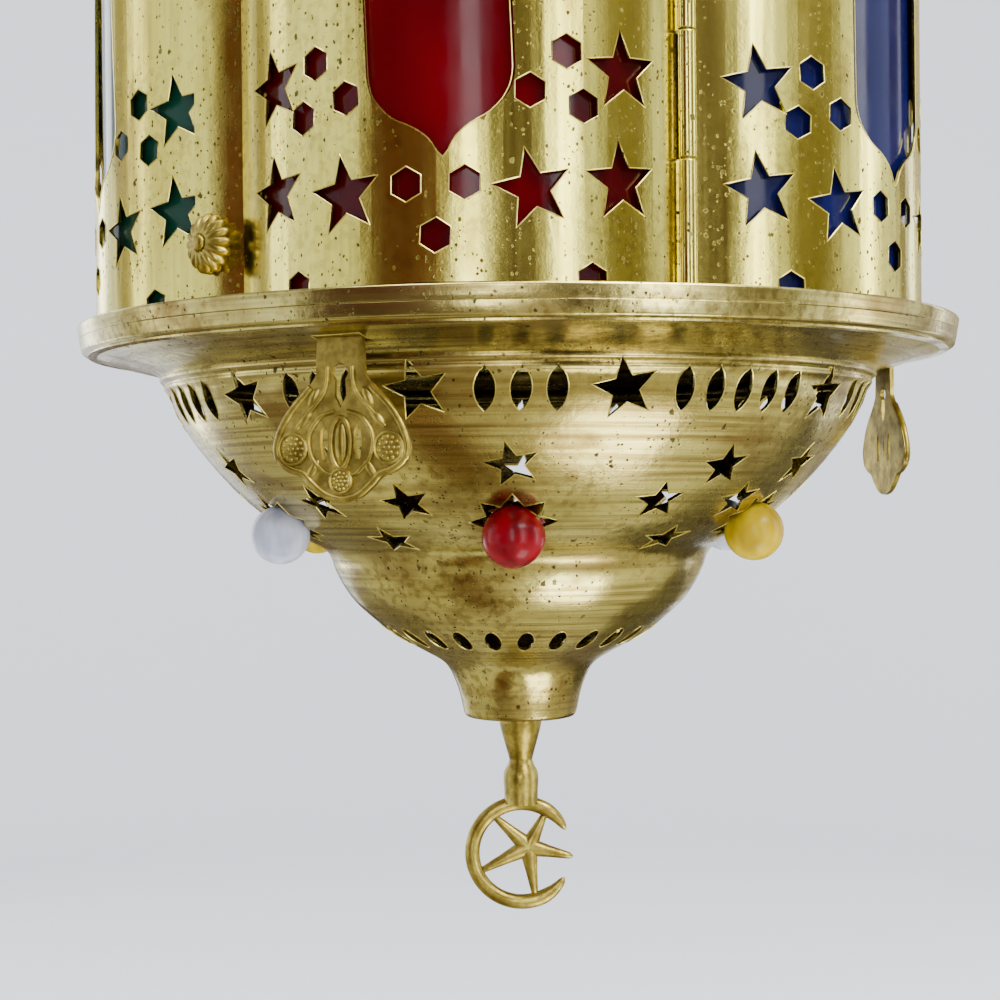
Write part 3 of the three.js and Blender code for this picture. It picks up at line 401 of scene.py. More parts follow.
def makeBoards():
    for i, (turn, bottom, top, distance, width, colour) in enumerate(darkBoards):
        half, near, far = width / 2, -distance, -distance - studioLook["boardThickness"]
        outline = [(-half, near), (half, near), (half, far), (-half, far)]
        makeBoard(f"feltBoard{i}", outline, bottom, top, turn, colour)
    matBottom = darkMat["aboveFloor"] - studioLook["floorDrop"]
    matTop = matBottom + darkMat["thickness"]
    makeBoard("feltMat", roundOutline(darkMat["radius"], 64), matBottom, matTop, 0, darkMat["colour"])
    stripBottom = matTop + darkMat["stripGap"]
    for i, (turn, near, far, nearHalf, farHalf, colour) in enumerate(darkMat["strips"]):
        outline = [(-nearHalf, -near), (-farHalf, -far), (farHalf, -far), (nearHalf, -near)]
        makeBoard(f"feltStrip{i}", outline, stripBottom, stripBottom + darkMat["stripThickness"], turn, colour)


makeStudio()
makeLights()
makeBoards()
print("camera and studio made")


def newMaterial(name):
    material = bpy.data.materials.new(name)
    material.use_nodes = True
    tree = material.node_tree
    place = addNode(tree, "ShaderNodeTexCoord").outputs["Object"]
    inMm = valueOf(tree, "ShaderNodeVectorMath", {0: place, 1: (1000, 1000, 1000)}, operation="MULTIPLY")
    return material, tree, tree.nodes["Principled BSDF"], inMm


def noiseOf(tree, inMm, size, stretch=(1, 1, 1), detail=2.0, shift=0):
    # size: the width of a patch in millimetres; a stretch below 1 draws it out along that axis
    scaled = valueOf(tree, "ShaderNodeVectorMath", {0: inMm, 1: [s / size for s in stretch], 2: (shift,) * 3},
                     operation="MULTIPLY_ADD")
    return valueOf(tree, "ShaderNodeTexNoise", {"Vector": scaled, "Scale": 1.0, "Detail": detail})


def between(tree, value, low, high, toLow=0.0, toHigh=1.0):
    return valueOf(tree, "ShaderNodeMapRange", {0: value, 1: low, 2: high, 3: toLow, 4: toHigh})


def blended(tree, share, first, second):
    return addNode(tree, "ShaderNodeMix", {0: share, 6: first, 7: second}, data_type="RGBA").outputs[2]


def calc(tree, operation, first, second=0.0, third=0.0):
    return valueOf(tree, "ShaderNodeMath", {0: first, 1: second, 2: third}, operation=operation)


def addBump(tree, shader, height):
    bump = valueOf(tree, "ShaderNodeBump", {"Height": height, "Strength": 1.0, "Distance": 0.001})
    tree.links.new(bump, shader.inputs["Normal"])


speckLook = {
    "drawn": (1, 1, 0.8),
    "raggedSize": 0.7, "raggedDepth": 1.1,    # as shares of a dot
    "reach": 1.3, "fewLarge": 2.0, "edge": 0.07,
    "clusterStretch": (1, 1, 0.6), "clusterEdge": 0.14,
}


def specks(tree, inMm, spacing, size, clusterSize, clusterFrom, shift):
    # dark dots that gather in clusters
    look, share = speckLook, size / spacing
    drawn = valueOf(tree, "ShaderNodeVectorMath", {0: inMm, 1: look["drawn"], 2: (shift,) * 3},
                    operation="MULTIPLY_ADD")
    wavy = noiseOf(tree, inMm, size * look["raggedSize"], (1, 1, 1), 2, shift)
    cells = addNode(tree, "ShaderNodeTexVoronoi", {"Vector": drawn, "Scale": 1 / spacing}).outputs
    pick = valueOf(tree, "ShaderNodeSeparateColor", {0: cells["Color"]})
    reach = calc(tree, "MULTIPLY", calc(tree, "POWER", pick, look["fewLarge"]), look["reach"] * share)
    ragged = calc(tree, "MULTIPLY_ADD", wavy, look["raggedDepth"] * share, cells["Distance"])
    dots = between(tree, calc(tree, "SUBTRACT", reach, ragged), 0.0, look["edge"])
    gathered = noiseOf(tree, inMm, clusterSize, look["clusterStretch"], 3, shift + 3)
    cluster = between(tree, gathered, clusterFrom, clusterFrom + look["clusterEdge"])
    return calc(tree, "MULTIPLY", dots, cluster)


def latheSurface(tree, inMm, drift=0.02):
    # the lines of a lathe run round, so they change with the radius and the height
    flat = valueOf(tree, "ShaderNodeVectorMath", {0: inMm, 1: (1, 1, 0)}, operation="MULTIPLY")
    radius = addNode(tree, "ShaderNodeVectorMath", {0: flat}, operation="LENGTH").outputs[1]
    x, y, z = addNode(tree, "ShaderNodeSeparateXYZ", {0: inMm}).outputs
    across = calc(tree, "MULTIPLY", x, drift)
    upward = calc(tree, "MULTIPLY_ADD", y, drift, z)
    return valueOf(tree, "ShaderNodeCombineXYZ", {0: radius, 1: across, 2: upward})


# where a pattern's noise starts and is full
patternEdges = {
    "patches": (0.38, 0.62), "worn": (0.44, 0.6), "lines": (0.42, 0.62), "mottle": (0.48, 0.6),
    "unworn": (0.56, 0.44), "blotsLater": 0.03,
    "cloud": (0.35, 0.65), "smear": (0.4, 0.7), "wear": (0.45, 0.7),
}


def brass(name, look):
    # the last number of each noise only shifts it away from the others
    material, tree, shader, inMm = newMaterial(name)
    surface = latheSurface(tree, inMm) if look["turned"] else inMm
    stretch, stain, edges = look["patchStretch"], linear(look["stain"]), patternEdges
    patches = between(tree, noiseOf(tree, inMm, look["patch"], stretch, 4), *edges["patches"])
    tarnish = between(tree, noiseOf(tree, inMm, look["tarnishSize"], stretch, 6, 17), look["tarnishFrom"],
                      look["tarnishFrom"] + look["tarnishEdge"], 0, look["tarnish"])
    lines = noiseOf(tree, surface, look["lineWidth"], look["lineStretch"], 4, 5)
    fine = specks(tree, inMm, look["speckSpacing"], look["speckSize"], look["speckCluster"],
                  look["speckFrom"], 2)
    blots = specks(tree, inMm, look["blotSpacing"], look["blotSize"], look["blotCluster"],
                   look["speckFrom"] + edges["blotsLater"], 40)
    dark = calc(tree, "MAXIMUM", fine, blots)
    worn = noiseOf(tree, inMm, look["wornSize"], (1, 1, 1.5), 2, 91)
    shade = between(tree, worn, *edges["worn"], look["lineShade"], look["lineShadeMost"])
    streaks = calc(tree, "MULTIPLY", between(tree, lines, *edges["lines"]), shade)
    mottle = between(tree, noiseOf(tree, inMm, look["mottleSize"], (1, 1, 1), 5, 71), *edges["mottle"])
    mottle = calc(tree, "MULTIPLY", mottle, between(tree, worn, *edges["unworn"], 0, look["mottle"]))
    colour = blended(tree, patches, linear(look["light"]), linear(look["deep"]))
    for share in (streaks, tarnish, mottle):
        colour = blended(tree, share, colour, stain)
    colour = blended(tree, calc(tree, "MULTIPLY", dark, look["pitShare"]), colour, linear(look["pit"]))
    tree.links.new(colour, shader.inputs["Base Color"])
    rough = calc(tree, "MULTIPLY_ADD", tarnish, look["roughTarnish"], look["rough"])
    for pattern, share in ((lines, look["roughLines"]), (dark, look["roughPits"])):
        rough = calc(tree, "MULTIPLY_ADD", pattern, share, rough)
    tree.links.new(rough, shader.inputs["Roughness"])
    dents = noiseOf(tree, inMm, look["dentSize"], stretch, 1, 31)
    crinkle = noiseOf(tree, inMm, look["crinkleSize"], (1, 1, 1), 2, 53)
    grain = noiseOf(tree, inMm, look["grainSize"], (1, 1, 1), 3, 11)
    height = calc(tree, "MULTIPLY", dents, look["dentDepth"])
    for pattern, depth in ((crinkle, look["crinkleDepth"]), (lines, look["lineDepth"]),
                           (grain, look["grainDepth"]), (dark, -look["pitDepth"])):
        height = calc(tree, "MULTIPLY_ADD", pattern, depth, height)
    addBump(tree, shader, height)
    shader.inputs["Metallic"].default_value = 1.0
    return material


# sizes and depths in millimetres; "from" is how much of the pattern's noise stays clear
sheetLook = {
    "light": "#E8DC6C", "deep": "#CCBE54", "stain": "#6C5024", "pit": "#21180C", "turned": False,
    "patch": 26, "patchStretch": (1, 1, 0.35),
    "tarnishSize": 14, "tarnishFrom": 0.55, "tarnishEdge": 0.16, "tarnish": 0.5,
    "lineWidth": 1.6, "lineStretch": (1, 1, 0.04), "lineDepth": 0.008, "lineShade": 0.12, "lineShadeMost": 0.3,
    "speckSpacing": 0.95, "speckSize": 0.6, "speckFrom": 0.33, "speckCluster": 24,
    "blotSpacing": 3.0, "blotSize": 1.2, "blotCluster": 30, "pitShare": 0.85, "pitDepth": 0.012,
    "wornSize": 40, "mottleSize": 2.2, "mottle": 0.25,
    "rough": 0.1, "roughLines": 0.14, "roughTarnish": 0.25, "roughPits": 0.35,
    "dentSize": 22, "dentDepth": 0.35, "crinkleSize": 5, "crinkleDepth": 0.03,
    "grainSize": 0.7, "grainDepth": 0.014,
}
spunLook = dict(sheetLook, **{
    "light": "#E2D680", "deep": "#B2A45C", "turned": True, "patchStretch": (0.7, 0.7, 1.3),
    "tarnishSize": 20, "tarnishFrom": 0.52, "tarnish": 0.75,
    "lineWidth": 1.3, "lineStretch": (1, 1, 1), "lineDepth": 0.022, "lineShade": 0.3, "lineShadeMost": 0.75,
    "speckFrom": 0.38, "mottle": 0.5, "rough": 0.14,
    "dentSize": 16, "dentDepth": 0.22, "crinkleSize": 3.6, "crinkleDepth": 0.06,
})
castLook = dict(sheetLook, **{
    "light": "#C2AE54", "deep": "#8C7A34", "stain": "#4A3818", "patch": 7, "patchStretch": (1, 1, 1),
    "tarnishSize": 4, "tarnishFrom": 0.5, "tarnish": 0.35,
    "lineWidth": 1.2, "lineStretch": (1, 1, 1), "lineDepth": 0.02,
    "speckSpacing": 1.2, "speckSize": 0.5, "speckFrom": 0.58, "blotSize": 0.8, "mottle": 0.18, "rough": 0.25,
    "dentSize": 5, "dentDepth": 0.14, "crinkleSize": 1.8, "crinkleDepth": 0.05,
    "grainSize": 0.4, "grainDepth": 0.03,
})
# the burr's colour is painted lighter than the sheet's, as the highlight that its raised lip catches
burrHighlightLook = dict(sheetLook, **{
    "light": "#F2E488", "deep": "#D8C660", "tarnish": 0.15, "mottle": 0.1, "rough": 0.2, "dentDepth": 0.0,
    "speckFrom": 0.55,
})

# Rolled brass sheet, polished once and then left to age: light yellow with dull streaks and dark specks
sheetBrass = brass("rolledSheetBrass", sheetLook)
# Brass sheet spun on a lathe: fine level lines and brown patches
spunBrass = brass("spunSheetBrass", spunLook)
# Sand-cast brass, left as it came: darker, with a grainy skin
castBrass = brass("sandCastBrass", castLook)
# Brass raised by the punch round a cut-out: a thin edge, coloured lighter than the sheet as a painted highlight
# along the lip
burrHighlightBrass = brass("punchedEdgeBrass", burrHighlightLook)


def glass(name, look):
    material, tree, shader, inMm = newMaterial(name)
    cloud = between(tree, noiseOf(tree, inMm, look["cloud"], (1, 1, 0.4)), *patternEdges["cloud"])
    colour = blended(tree, cloud, linear(look["colour"]), linear(look["deep"]))
    tree.links.new(colour, shader.inputs["Base Color"])
    ripple = noiseOf(tree, inMm, look["ripple"], (1, 1, 0.5), 1, 7)
    addBump(tree, shader, calc(tree, "MULTIPLY", ripple, look["rippleDepth"]))
    smear = noiseOf(tree, inMm, look["smearSize"], (1, 1, 1), 4, 3)
    dull = between(tree, smear, *patternEdges["smear"], look["rough"], look["rough"] + look["smear"])
    tree.links.new(dull, shader.inputs["Roughness"])
    shader.inputs["Transmission Weight"].default_value = look["clear"]
    shader.inputs["Specular IOR Level"].default_value = look["gloss"]
    shader.inputs["IOR"].default_value = 1.52
    return material


paneLook = {"cloud": 30, "ripple": 18, "rippleDepth": 0.12, "rough": 0.08, "smearSize": 9, "smear": 0.08,
            "clear": 0.2, "gloss": 0.07}
beadLook = {"cloud": 5, "ripple": 4, "rippleDepth": 0.08, "rough": 0.2, "smearSize": 9, "smear": 0.08,
            "clear": 0.0, "gloss": 0.15}
# Window glass coloured in the melt: dark, glossy, with slow ripples that bend its highlights
paneGlass = {
    "red": glass("meltColouredRedGlass", dict(paneLook, colour="#54020A", deep="#340104")),
    "blue": glass("meltColouredBlueGlass", dict(paneLook, colour="#0E1244", deep="#080A2A")),
    "green": glass("meltColouredGreenGlass", dict(paneLook, colour="#0B3628", deep="#051E16")),
}
# Pressed glass beads: solid colour under a round highlight
beadGlass = {
    "red": glass("pressedRedGlass", dict(beadLook, colour="#720310", deep="#50020A")),
    "yellow": glass("pressedYellowGlass", dict(beadLook, colour="#B49800", deep="#8C7200")),
    "white": glass("pressedWhiteGlass", dict(beadLook, colour="#B2B4BE", deep="#8E909C")),
}
# Blown glass etched inside: an even milky white
bulbGlass = glass("etchedBulbGlass", dict(beadLook, colour="#F2F0E8", deep="#E6E2D6", cloud=40, rough=0.4))


def plastic(name, look):
    material, tree, shader, inMm = newMaterial(name)
    wear = between(tree, noiseOf(tree, inMm, look["wear"], (1, 1, 1), 5), *patternEdges["wear"])
    colour = blended(tree, wear, linear(look["colour"]), linear(look["worn"]))
    tree.links.new(colour, shader.inputs["Base Color"])
    grain = noiseOf(tree, inMm, look["grain"], (1, 1, 1), 2, 9)
    addBump(tree, shader, calc(tree, "MULTIPLY", grain, look["grainDepth"]))
    tree.links.new(between(tree, wear, 0, 1, *look["rough"]), shader.inputs["Roughness"])
    return material


# Phenolic plastic, moulded: near black with a soft sheen
holderPlastic = plastic("mouldedPhenolicPlastic", {
    "colour": "#1C1814", "worn": "#33291F", "wear": 12, "grain": 0.6, "grainDepth": 0.02, "rough": (0.4, 0.55)})
print("materials made")

cutLook = {
    "burrRadius": 0.15,
    "burrSides": 5,
    "wobble": 5,            # degrees that a cut-out may stand askew
    "edgeStep": 1.3,        # length of the pieces that its outline is drawn in
    "starInner": 0.42,
    "starHeight": 15.5,
    "starLean": 8,          # degrees that the punch stood askew
    "panelStarHeight": 17.4,
    "smallStarHeight": 13.5,
    "almond": (5.3, 12),
    "almondFullness": 0.8,
    "burst": (11.5, 7.4),
    "slot": (4.7, 10.4),
    "hexagonWidth": 7,
    # upper right quarter of the window, an ogee that narrows to a tip
    "window": [(17, 0), (17, 14), (17, 23.4), (16.8, 29.1), (15.2, 33.3), (11.4, 37.2), (6.6, 39.7),
               (3.1, 42.5), (1.3, 45.4), (0, 46.8)],
}


def pierceTree():
    tree, given = newGroup("pierceSheet", {
        "Sheet": "Geometry", "Places": "Object", "Outlines": "Collection", "Reach": "Float",
        "Burr radius": "Float", "Wobble": "Float", "Seed": "Int", "Sheet metal": "Material",
        "Burr metal": "Material"})
    places = addNode(tree, "GeometryNodeObjectInfo", {0: given["Places"]}).outputs["Geometry"]
    outlines = shapeOf(tree, "CollectionInfo", {0: given["Outlines"], 1: True, 2: True})
    which = shapeOf(tree, "InputNamedAttribute", {0: "kind"}, data_type="INT")
    facing = shapeOf(tree, "InputNamedAttribute", {0: "facing"}, data_type="FLOAT_VECTOR")
    lowest = calc(tree, "MULTIPLY", given["Wobble"], -1.0)
    turn = addNode(tree, "FunctionNodeRandomValue", {2: lowest, 3: given["Wobble"], 8: given["Seed"]},
                   data_type="FLOAT").outputs[1]
    twist = valueOf(tree, "FunctionNodeEulerToRotation", {0: valueOf(tree, "ShaderNodeCombineXYZ", {2: turn})})
    rotation = valueOf(tree, "FunctionNodeRotateRotation", {
        0: valueOf(tree, "FunctionNodeEulerToRotation", {0: facing}), 1: twist}, rotation_space="LOCAL")
    shapes = shapeOf(tree, "InstanceOnPoints", {0: places, 2: outlines, 3: True, 4: which, 5: rotation})
    flat = shapeOf(tree, "RealizeInstances", {0: shapes})
    inward = calc(tree, "MULTIPLY", given["Reach"], -1.0)
    across = calc(tree, "MULTIPLY", given["Reach"], 2.0)
    sink = valueOf(tree, "ShaderNodeVectorMath", {0: shapeOf(tree, "InputNormal"), "Scale": inward},
                   operation="SCALE")
    sunk = shapeOf(tree, "SetPosition", {0: flat, "Offset": sink})
    prisms = shapeOf(tree, "ExtrudeMesh", {0: sunk, "Offset Scale": across, "Individual": True}, mode="FACES")
    loose = shapeOf(tree, "JoinGeometry", {0: [prisms, shapeOf(tree, "FlipFaces", {0: sunk})]})
    cutters = shapeOf(tree, "MergeByDistance", {0: loose, "Distance": 1e-6})
    holed = shapeOf(tree, "MeshBoolean", {0: given["Sheet"], 1: cutters}, operation="DIFFERENCE",
                    solver="MANIFOLD")
    nearest = shapeOf(tree, "Proximity", {0: given["Sheet"]}, target_element="FACES")
    edges = shapeOf(tree, "MeshToCurve", {0: flat})
    laid = shapeOf(tree, "SetPosition", {0: edges, "Position": nearest})
    wire = shapeOf(tree, "CurvePrimitiveCircle", {
        "Resolution": cutLook["burrSides"], "Radius": given["Burr radius"]})
    burrs = shapeOf(tree, "CurveToMesh", {0: laid, 1: wire})
    sheet = shapeOf(tree, "SetMaterial", {0: holed, 2: given["Sheet metal"]})
    edge = shapeOf(tree, "SetMaterial", {0: burrs, 2: given["Burr metal"]})
    whole = shapeOf(tree, "JoinGeometry", {0: [sheet, edge]})
    addNode(tree, "NodeGroupOutput", {0: shapeOf(tree, "RealizeInstances", {0: whole})})
    return tree


piercing = pierceTree()


def pointedOutline(outer, inner, points, lean=0):
    start = math.radians(90 + lean)
    reach = [inner if i % 2 else outer for i in range(2 * points)]
    return [(r * math.cos(start + i * math.pi / points), r * math.sin(start + i * math.pi / points))
            for i, r in enumerate(reach)]


def starOutline(height):
    outer = height / (1 + math.cos(math.pi / 5))
    return pointedOutline(outer, outer * cutLook["starInner"], 5, cutLook["starLean"])


def ovalOutline(width, height, sides=20):
    return [(x * width / 2, y * height / 2) for x, y in roundOutline(1, sides)]


def almondOutline(width, height):
    right = [(width / 2 * (1 - t * t) ** cutLook["almondFullness"], height / 2 * t)
             for t in np.linspace(-1, 1, 9)]
    return right + [(-x, y) for x, y in right[-2:0:-1]]


def windowOutline():
    upper = smoothed(cutLook["window"], 3)
    right = [(x, -y) for x, y in upper[:0:-1]] + upper
    return right + [(-x, y) for x, y in right[-2:0:-1]]


outlineSets = []


def outlineSet(name, outlines):
    collection = bpy.data.collections.new(name)
    scene.collection.children.link(collection)
    outlineSets.append(collection)
    for i, outline in enumerate(outlines):
        chain = []
        for a, b in zip(outline, outline[1:] + outline[:1]):
            steps = max(1, round(math.dist(a, b) / cutLook["edgeStep"]))
            chain += [((a[0] + (b[0] - a[0]) * k / steps) / 1000, (a[1] + (b[1] - a[1]) * k / steps) / 1000, 0)
                      for k in range(steps)]
        mesh = bpy.data.meshes.new(name)
        mesh.from_pydata(chain, [], [list(range(len(chain)))])
        collection.objects.link(bpy.data.objects.new(f"{i:02d}_{name}", mesh))
    return collection


def pierced(piece, places, outlines, metal, reach=3.0, seed=1):
    # places: a frame and the number of an outline for each cut-out
    mesh = bpy.data.meshes.new("places")
    spots = [frameOf.translation + Vector((0, 0, rimLevel)) for frameOf, _ in places]
    mesh.from_pydata([tuple(spot / 1000) for spot in spots], [], [])
    mesh.attributes.new("facing", "FLOAT_VECTOR", "POINT")
    mesh.attributes.new("kind", "INT", "POINT")
    for i, (frameOf, kind) in enumerate(places):
        mesh.attributes["facing"].data[i].vector = frameOf.to_euler()
        mesh.attributes["kind"].data[i].value = kind
    marks = linked("places", mesh)
    applyTree(piece, piercing, {
        "Places": marks, "Outlines": outlines, "Reach": reach / 1000, "Seed": seed,
        "Burr radius": cutLook["burrRadius"] / 1000, "Wobble": math.radians(cutLook["wobble"]),
        "Sheet metal": metal, "Burr metal": burrHighlightBrass,
    })
    bpy.data.objects.remove(marks)
    return piece


bowlLook = {
    "turn": 7.6,
    "sheet": 1.0,
    "rim": (124.3, bowlRimHeight, 2.4),     # radius, height and width of the rolled rim
    "rimLean": 0.7,
    "rimBends": (0.9, 0.25, 0.6),           # its rounding inside, outside and below
    "rimFoot": 0.6,                         # how far above the flange its inside ends
    "seamRoom": 0.2,
    "lip": (0.6, -0.15),                    # the flange's start, in from the rim and down
    "flangeRoot": (104, -5),
    "profile": [
        (102.4, -6.2), (102.5, -7.4), (101.2, -8.4), (101.3, -9.6), (100.0, -11.2), (98.6, -15), (96.3, -19.5),
        (93.3, -24.3), (89.4, -29.4), (84.6, -35), (78.4, -41.2), (71.2, -47), (65.4, -50.4), (60, -53.2),
        (56.6, -55), (54.6, -57.6), (53.4, -61.2), (51, -65.9), (47.7, -70.5), (42.7, -75.2), (36.6, -80),
        (28.2, -84.8), (23.6, -87.4), (21.0, -89.8), (19.0, -93.8), (17.6, -98), (16.7, -102), (16.1, -103.9),
        (14.5, -104.5), (9, -104.5), (2.8, -104.5),
    ],
    "topRow": -14.7,
    "topGaps": [30, 29, 38, 30, 29, 38, 30, 29, 38, 34.5, 34.5],
    "topStart": -43,
    "almondPitch": 5,
    "almondRoom": 17,
    "beadLevel": -46.8,
    "starOverBead": -32.4,
    "diamond": [(0, -32.9), (-10, -41.6), (10, -41.6), (0, -51.5)],
    "diamondTurns": [38, 90, 150, 210, 270, 330],
    "ringLevel": -80,
    "ringCount": 26,
    "ringStart": 3.5,
    "pendantTurn": -12.7,
    "pendantRow": 112,
    "slotHalf": (6.3, 2.9),
    "slotLevel": -3.1,
    "segments": 240,
}


def spunShell(profile, look):
    # section of a rolled rim, the flange's slope and the profile, and back along the inside
    rimRadius, rimHeight, rimWidth = look["rim"]
    rootRadius, rootHeight = look["flangeRoot"]
    lipInset, lipHeight = look["lip"]
    insideBend, outsideBend, lowerBend = look["rimBends"]
    slope = [(rimRadius - look["rimLean"] - lipInset, lipHeight),
             ((rimRadius + rootRadius) / 2, rootHeight / 2), (rootRadius, rootHeight)]
    outer = slope + smoothed(profile)
    inner = offset(outer, -look["sheet"])
    inside = rimRadius - rimWidth
    inner = [point for point in inner if point[0] < inside - look["seamRoom"]]
    rim = rounded([(inside, inner[0][1] + look["rimFoot"], 0), (inside, rimHeight, insideBend),
                   (rimRadius, rimHeight, outsideBend), (rimRadius - look["rimLean"], 0, lowerBend),
                   outer[1] + (0,)], 0.5, 4, False)
    return rim[:-1] + outer[1:] + inner[::-1]


def chainAt(chain, height):
    # radius and outward slope where a falling chain passes a height
    for (r0, z0), (r1, z1) in zip(chain, chain[1:]):
        if z1 <= height <= z0:
            long = math.hypot(r1 - r0, z1 - z0)
            return r0 + (r1 - r0) * (height - z0) / (z1 - z0 - 1e-9), (z0 - z1) / long, (r1 - r0) / long
    return chain[-1][0], 0, -1


bowlChain = smoothed(bowlLook["profile"])


def bowlPlace(degrees, height):
    radius, outRadial, outHeight = chainAt(bowlChain, height)
    return wallFrame(degrees + bowlLook["turn"], radius, height, outRadial, outHeight)


def bowlPlaces():
    look = bowlLook
    star, almond, burst, hole, smallStar, pendantSlot = range(6)
    places = []
    turn = look["topStart"]
    for step in look["topGaps"]:
        places.append((bowlPlace(turn, look["topRow"]), star))
        almonds = int((step - look["almondRoom"]) // look["almondPitch"]) + 1
        for i in range(almonds):
            shift = (i - (almonds - 1) / 2) * look["almondPitch"]
            places.append((bowlPlace(turn + step / 2 + shift, look["topRow"]), almond))
        turn += step
    for turn in range(0, 360, 60):
        places.append((bowlPlace(turn, look["beadLevel"]), burst))
        places.append((bowlPlace(turn, look["starOverBead"]), smallStar))
    for turn in look["diamondTurns"]:
        places += [(bowlPlace(turn + shift, height), smallStar) for shift, height in look["diamond"]]
    for i in range(look["ringCount"]):
        places.append((bowlPlace(look["ringStart"] + i * 360 / look["ringCount"], look["ringLevel"]), hole))
    for i in range(3):
        frameOf = wallFrame(look["pendantTurn"] + i * 120, look["pendantRow"], look["slotLevel"], 0, -1)
        places.append((frameOf, pendantSlot))
    return places


slotX, slotY = bowlLook["slotHalf"]
bowlShell = spin(spunShell(bowlLook["profile"], bowlLook), bowlLook["segments"], True)
bowl = makeMesh("bowl_shell", bowlShell, spunBrass)
bowlOutlines = outlineSet("bowlCuts", [
    starOutline(cutLook["starHeight"]), almondOutline(*cutLook["almond"]), pointedOutline(*cutLook["burst"], 8),
    ovalOutline(*cutLook["slot"]), starOutline(cutLook["smallStarHeight"]),
    [(-slotX, -slotY), (slotX, -slotY), (slotX, slotY), (-slotX, slotY)],
])
pierced(bowl, bowlPlaces(), bowlOutlines, spunBrass, seed=4)
fit(bowl, "lantern", "spun_brass", "bowl")
print("bowl made")

bodyLook = {
    "crease": 107, "crown": 120, "bottom": 7.6, "height": 150, "sheet": 0.8, "gap": 0.3, "glass": 3,
    "steps": 40, "panelStars": [(22, 28.5), (43.5, 31), (44, 56)],
    "hexagons": [(6.7, 30), (21.5, 50.5), (34, 47.5), (30, 59.5), (36, 8.6)],
    "middleHexagon": 18.4, "cutReach": 4.5,
    "seam": 0.17, "hingeSeam": 0.8, "glassInset": 0.5, "doorGlassInset": 2.8,
    "facetFrom": 52.5,      # where the flat end of a lobe starts, along its arc
    "lap": 12, "doorClear": 0.4, "barrel": 2.1, "bore": 1.3, "knuckles": 5, "knuckleGap": 0.5,
    "pinHeadRoom": 1.3,
}
halfStep = math.pi / 6
halfChord = bodyLook["crease"] * math.sin(halfStep)
lobeRise = bodyLook["crown"] - bodyLook["crease"] * math.cos(halfStep)
lobeRadius = (halfChord ** 2 + lobeRise ** 2) / (2 * lobeRise)
lobeCentre = bodyLook["crown"] - lobeRadius
lobeHalf = math.asin(halfChord / lobeRadius)
bodyBottom = bodyLook["bottom"]
bodyTop = bodyBottom + bodyLook["height"]
bodyMiddle = (bodyBottom + bodyTop) / 2
endFacet = (lobeHalf + bodyLook["facetFrom"] / lobeRadius) / 2
hingeRadius = bodyLook["crease"] + (bodyLook["barrel"] + bodyLook["gap"]) / math.cos(endFacet - halfStep)
glassFront = 2 * (bodyLook["sheet"] + bodyLook["gap"])


def arc(fromTurn, toTurn, depth, steps=None):
    # the front lobe's arc; depth runs into the body
    radius = lobeRadius - depth
    return [(radius * math.sin(turn), -lobeCentre - radius * math.cos(turn))
            for turn in np.linspace(fromTurn, toTurn, (steps or bodyLook["steps"]) + 1)]


def lobeStrip(leftInset, rightInset, front, back):
    left, right = -lobeHalf + leftInset / lobeRadius, lobeHalf - rightInset / lobeRadius
    return arc(left, right, front) + arc(left, right, back)[::-1]


def panelPlaces(degrees):
    star, hexagon, window = range(3)
    turn = aboutZ(degrees)

    def place(across, height):
        flat = wallFrame(math.degrees(across / lobeRadius), lobeRadius, height)
        return turn @ Matrix.Translation((0, -lobeCentre, 0)) @ flat

    places = [(place(0, bodyMiddle), window)]
    for half in (-1, 1):
        for side in (-1, 1):
            for kind, spots in ((star, bodyLook["panelStars"]), (hexagon, bodyLook["hexagons"])):
                for across, height in spots:
                    places.append((place(side * across, bodyMiddle + half * (bodyMiddle - height)), kind))
        places.append((place(0, bodyMiddle + half * (bodyMiddle - bodyLook["middleHexagon"])), hexagon))
    return places


hexagonReach = cutLook["hexagonWidth"] / 2 / math.cos(math.pi / 6)
panelOutlines = outlineSet("panelCuts", [
    starOutline(cutLook["panelStarHeight"]), roundOutline(hexagonReach, 6), windowOutline()])

sides = ["right_front", "right_back", "back", "left_back", "left_front"]
paneColours = ["blue", "green", "red", "blue", "green"]
for i, side in enumerate(sides):
    degrees = (i + 1) * 60
    leftInset = bodyLook["hingeSeam"] if i == 0 else bodyLook["seam"]
    strip = extruded(lobeStrip(leftInset, bodyLook["seam"], 0, bodyLook["sheet"]), bodyBottom, bodyTop)
    panel = makeMesh(f"{side}_sheet", turned(strip, degrees), sheetBrass)
    pierced(panel, panelPlaces(degrees), panelOutlines, sheetBrass, bodyLook["cutReach"], seed=10 + i)
    fit(panel, "lantern", "sheet_brass", f"{side}_panel")
    inset = bodyLook["glassInset"]
    glassStrip = lobeStrip(inset, inset, glassFront, glassFront + bodyLook["glass"])
    pane = makeMesh(f"{side}_glass", turned(extruded(glassStrip, bodyBottom, bodyTop), degrees),
                    paneGlass[paneColours[i]])
    fit(pane, "lantern", f"{paneColours[i]}_pane_glass", f"{side}_pane")
print("panels made")


def circlesMeet(firstCentre, firstRadius, secondCentre, secondRadius, near):
    a, b = Vector(firstCentre), Vector(secondCentre)
    apart = (b - a).length
    along = (apart ** 2 + firstRadius ** 2 - secondRadius ** 2) / (2 * apart)
    out = math.sqrt(firstRadius ** 2 - along ** 2)
    line = (b - a).normalized()
    spots = [a + line * along + Vector((-line.y, line.x)) * side * out for side in (-1, 1)]
    return min(spots, key=lambda spot: (spot - Vector(near)).length)


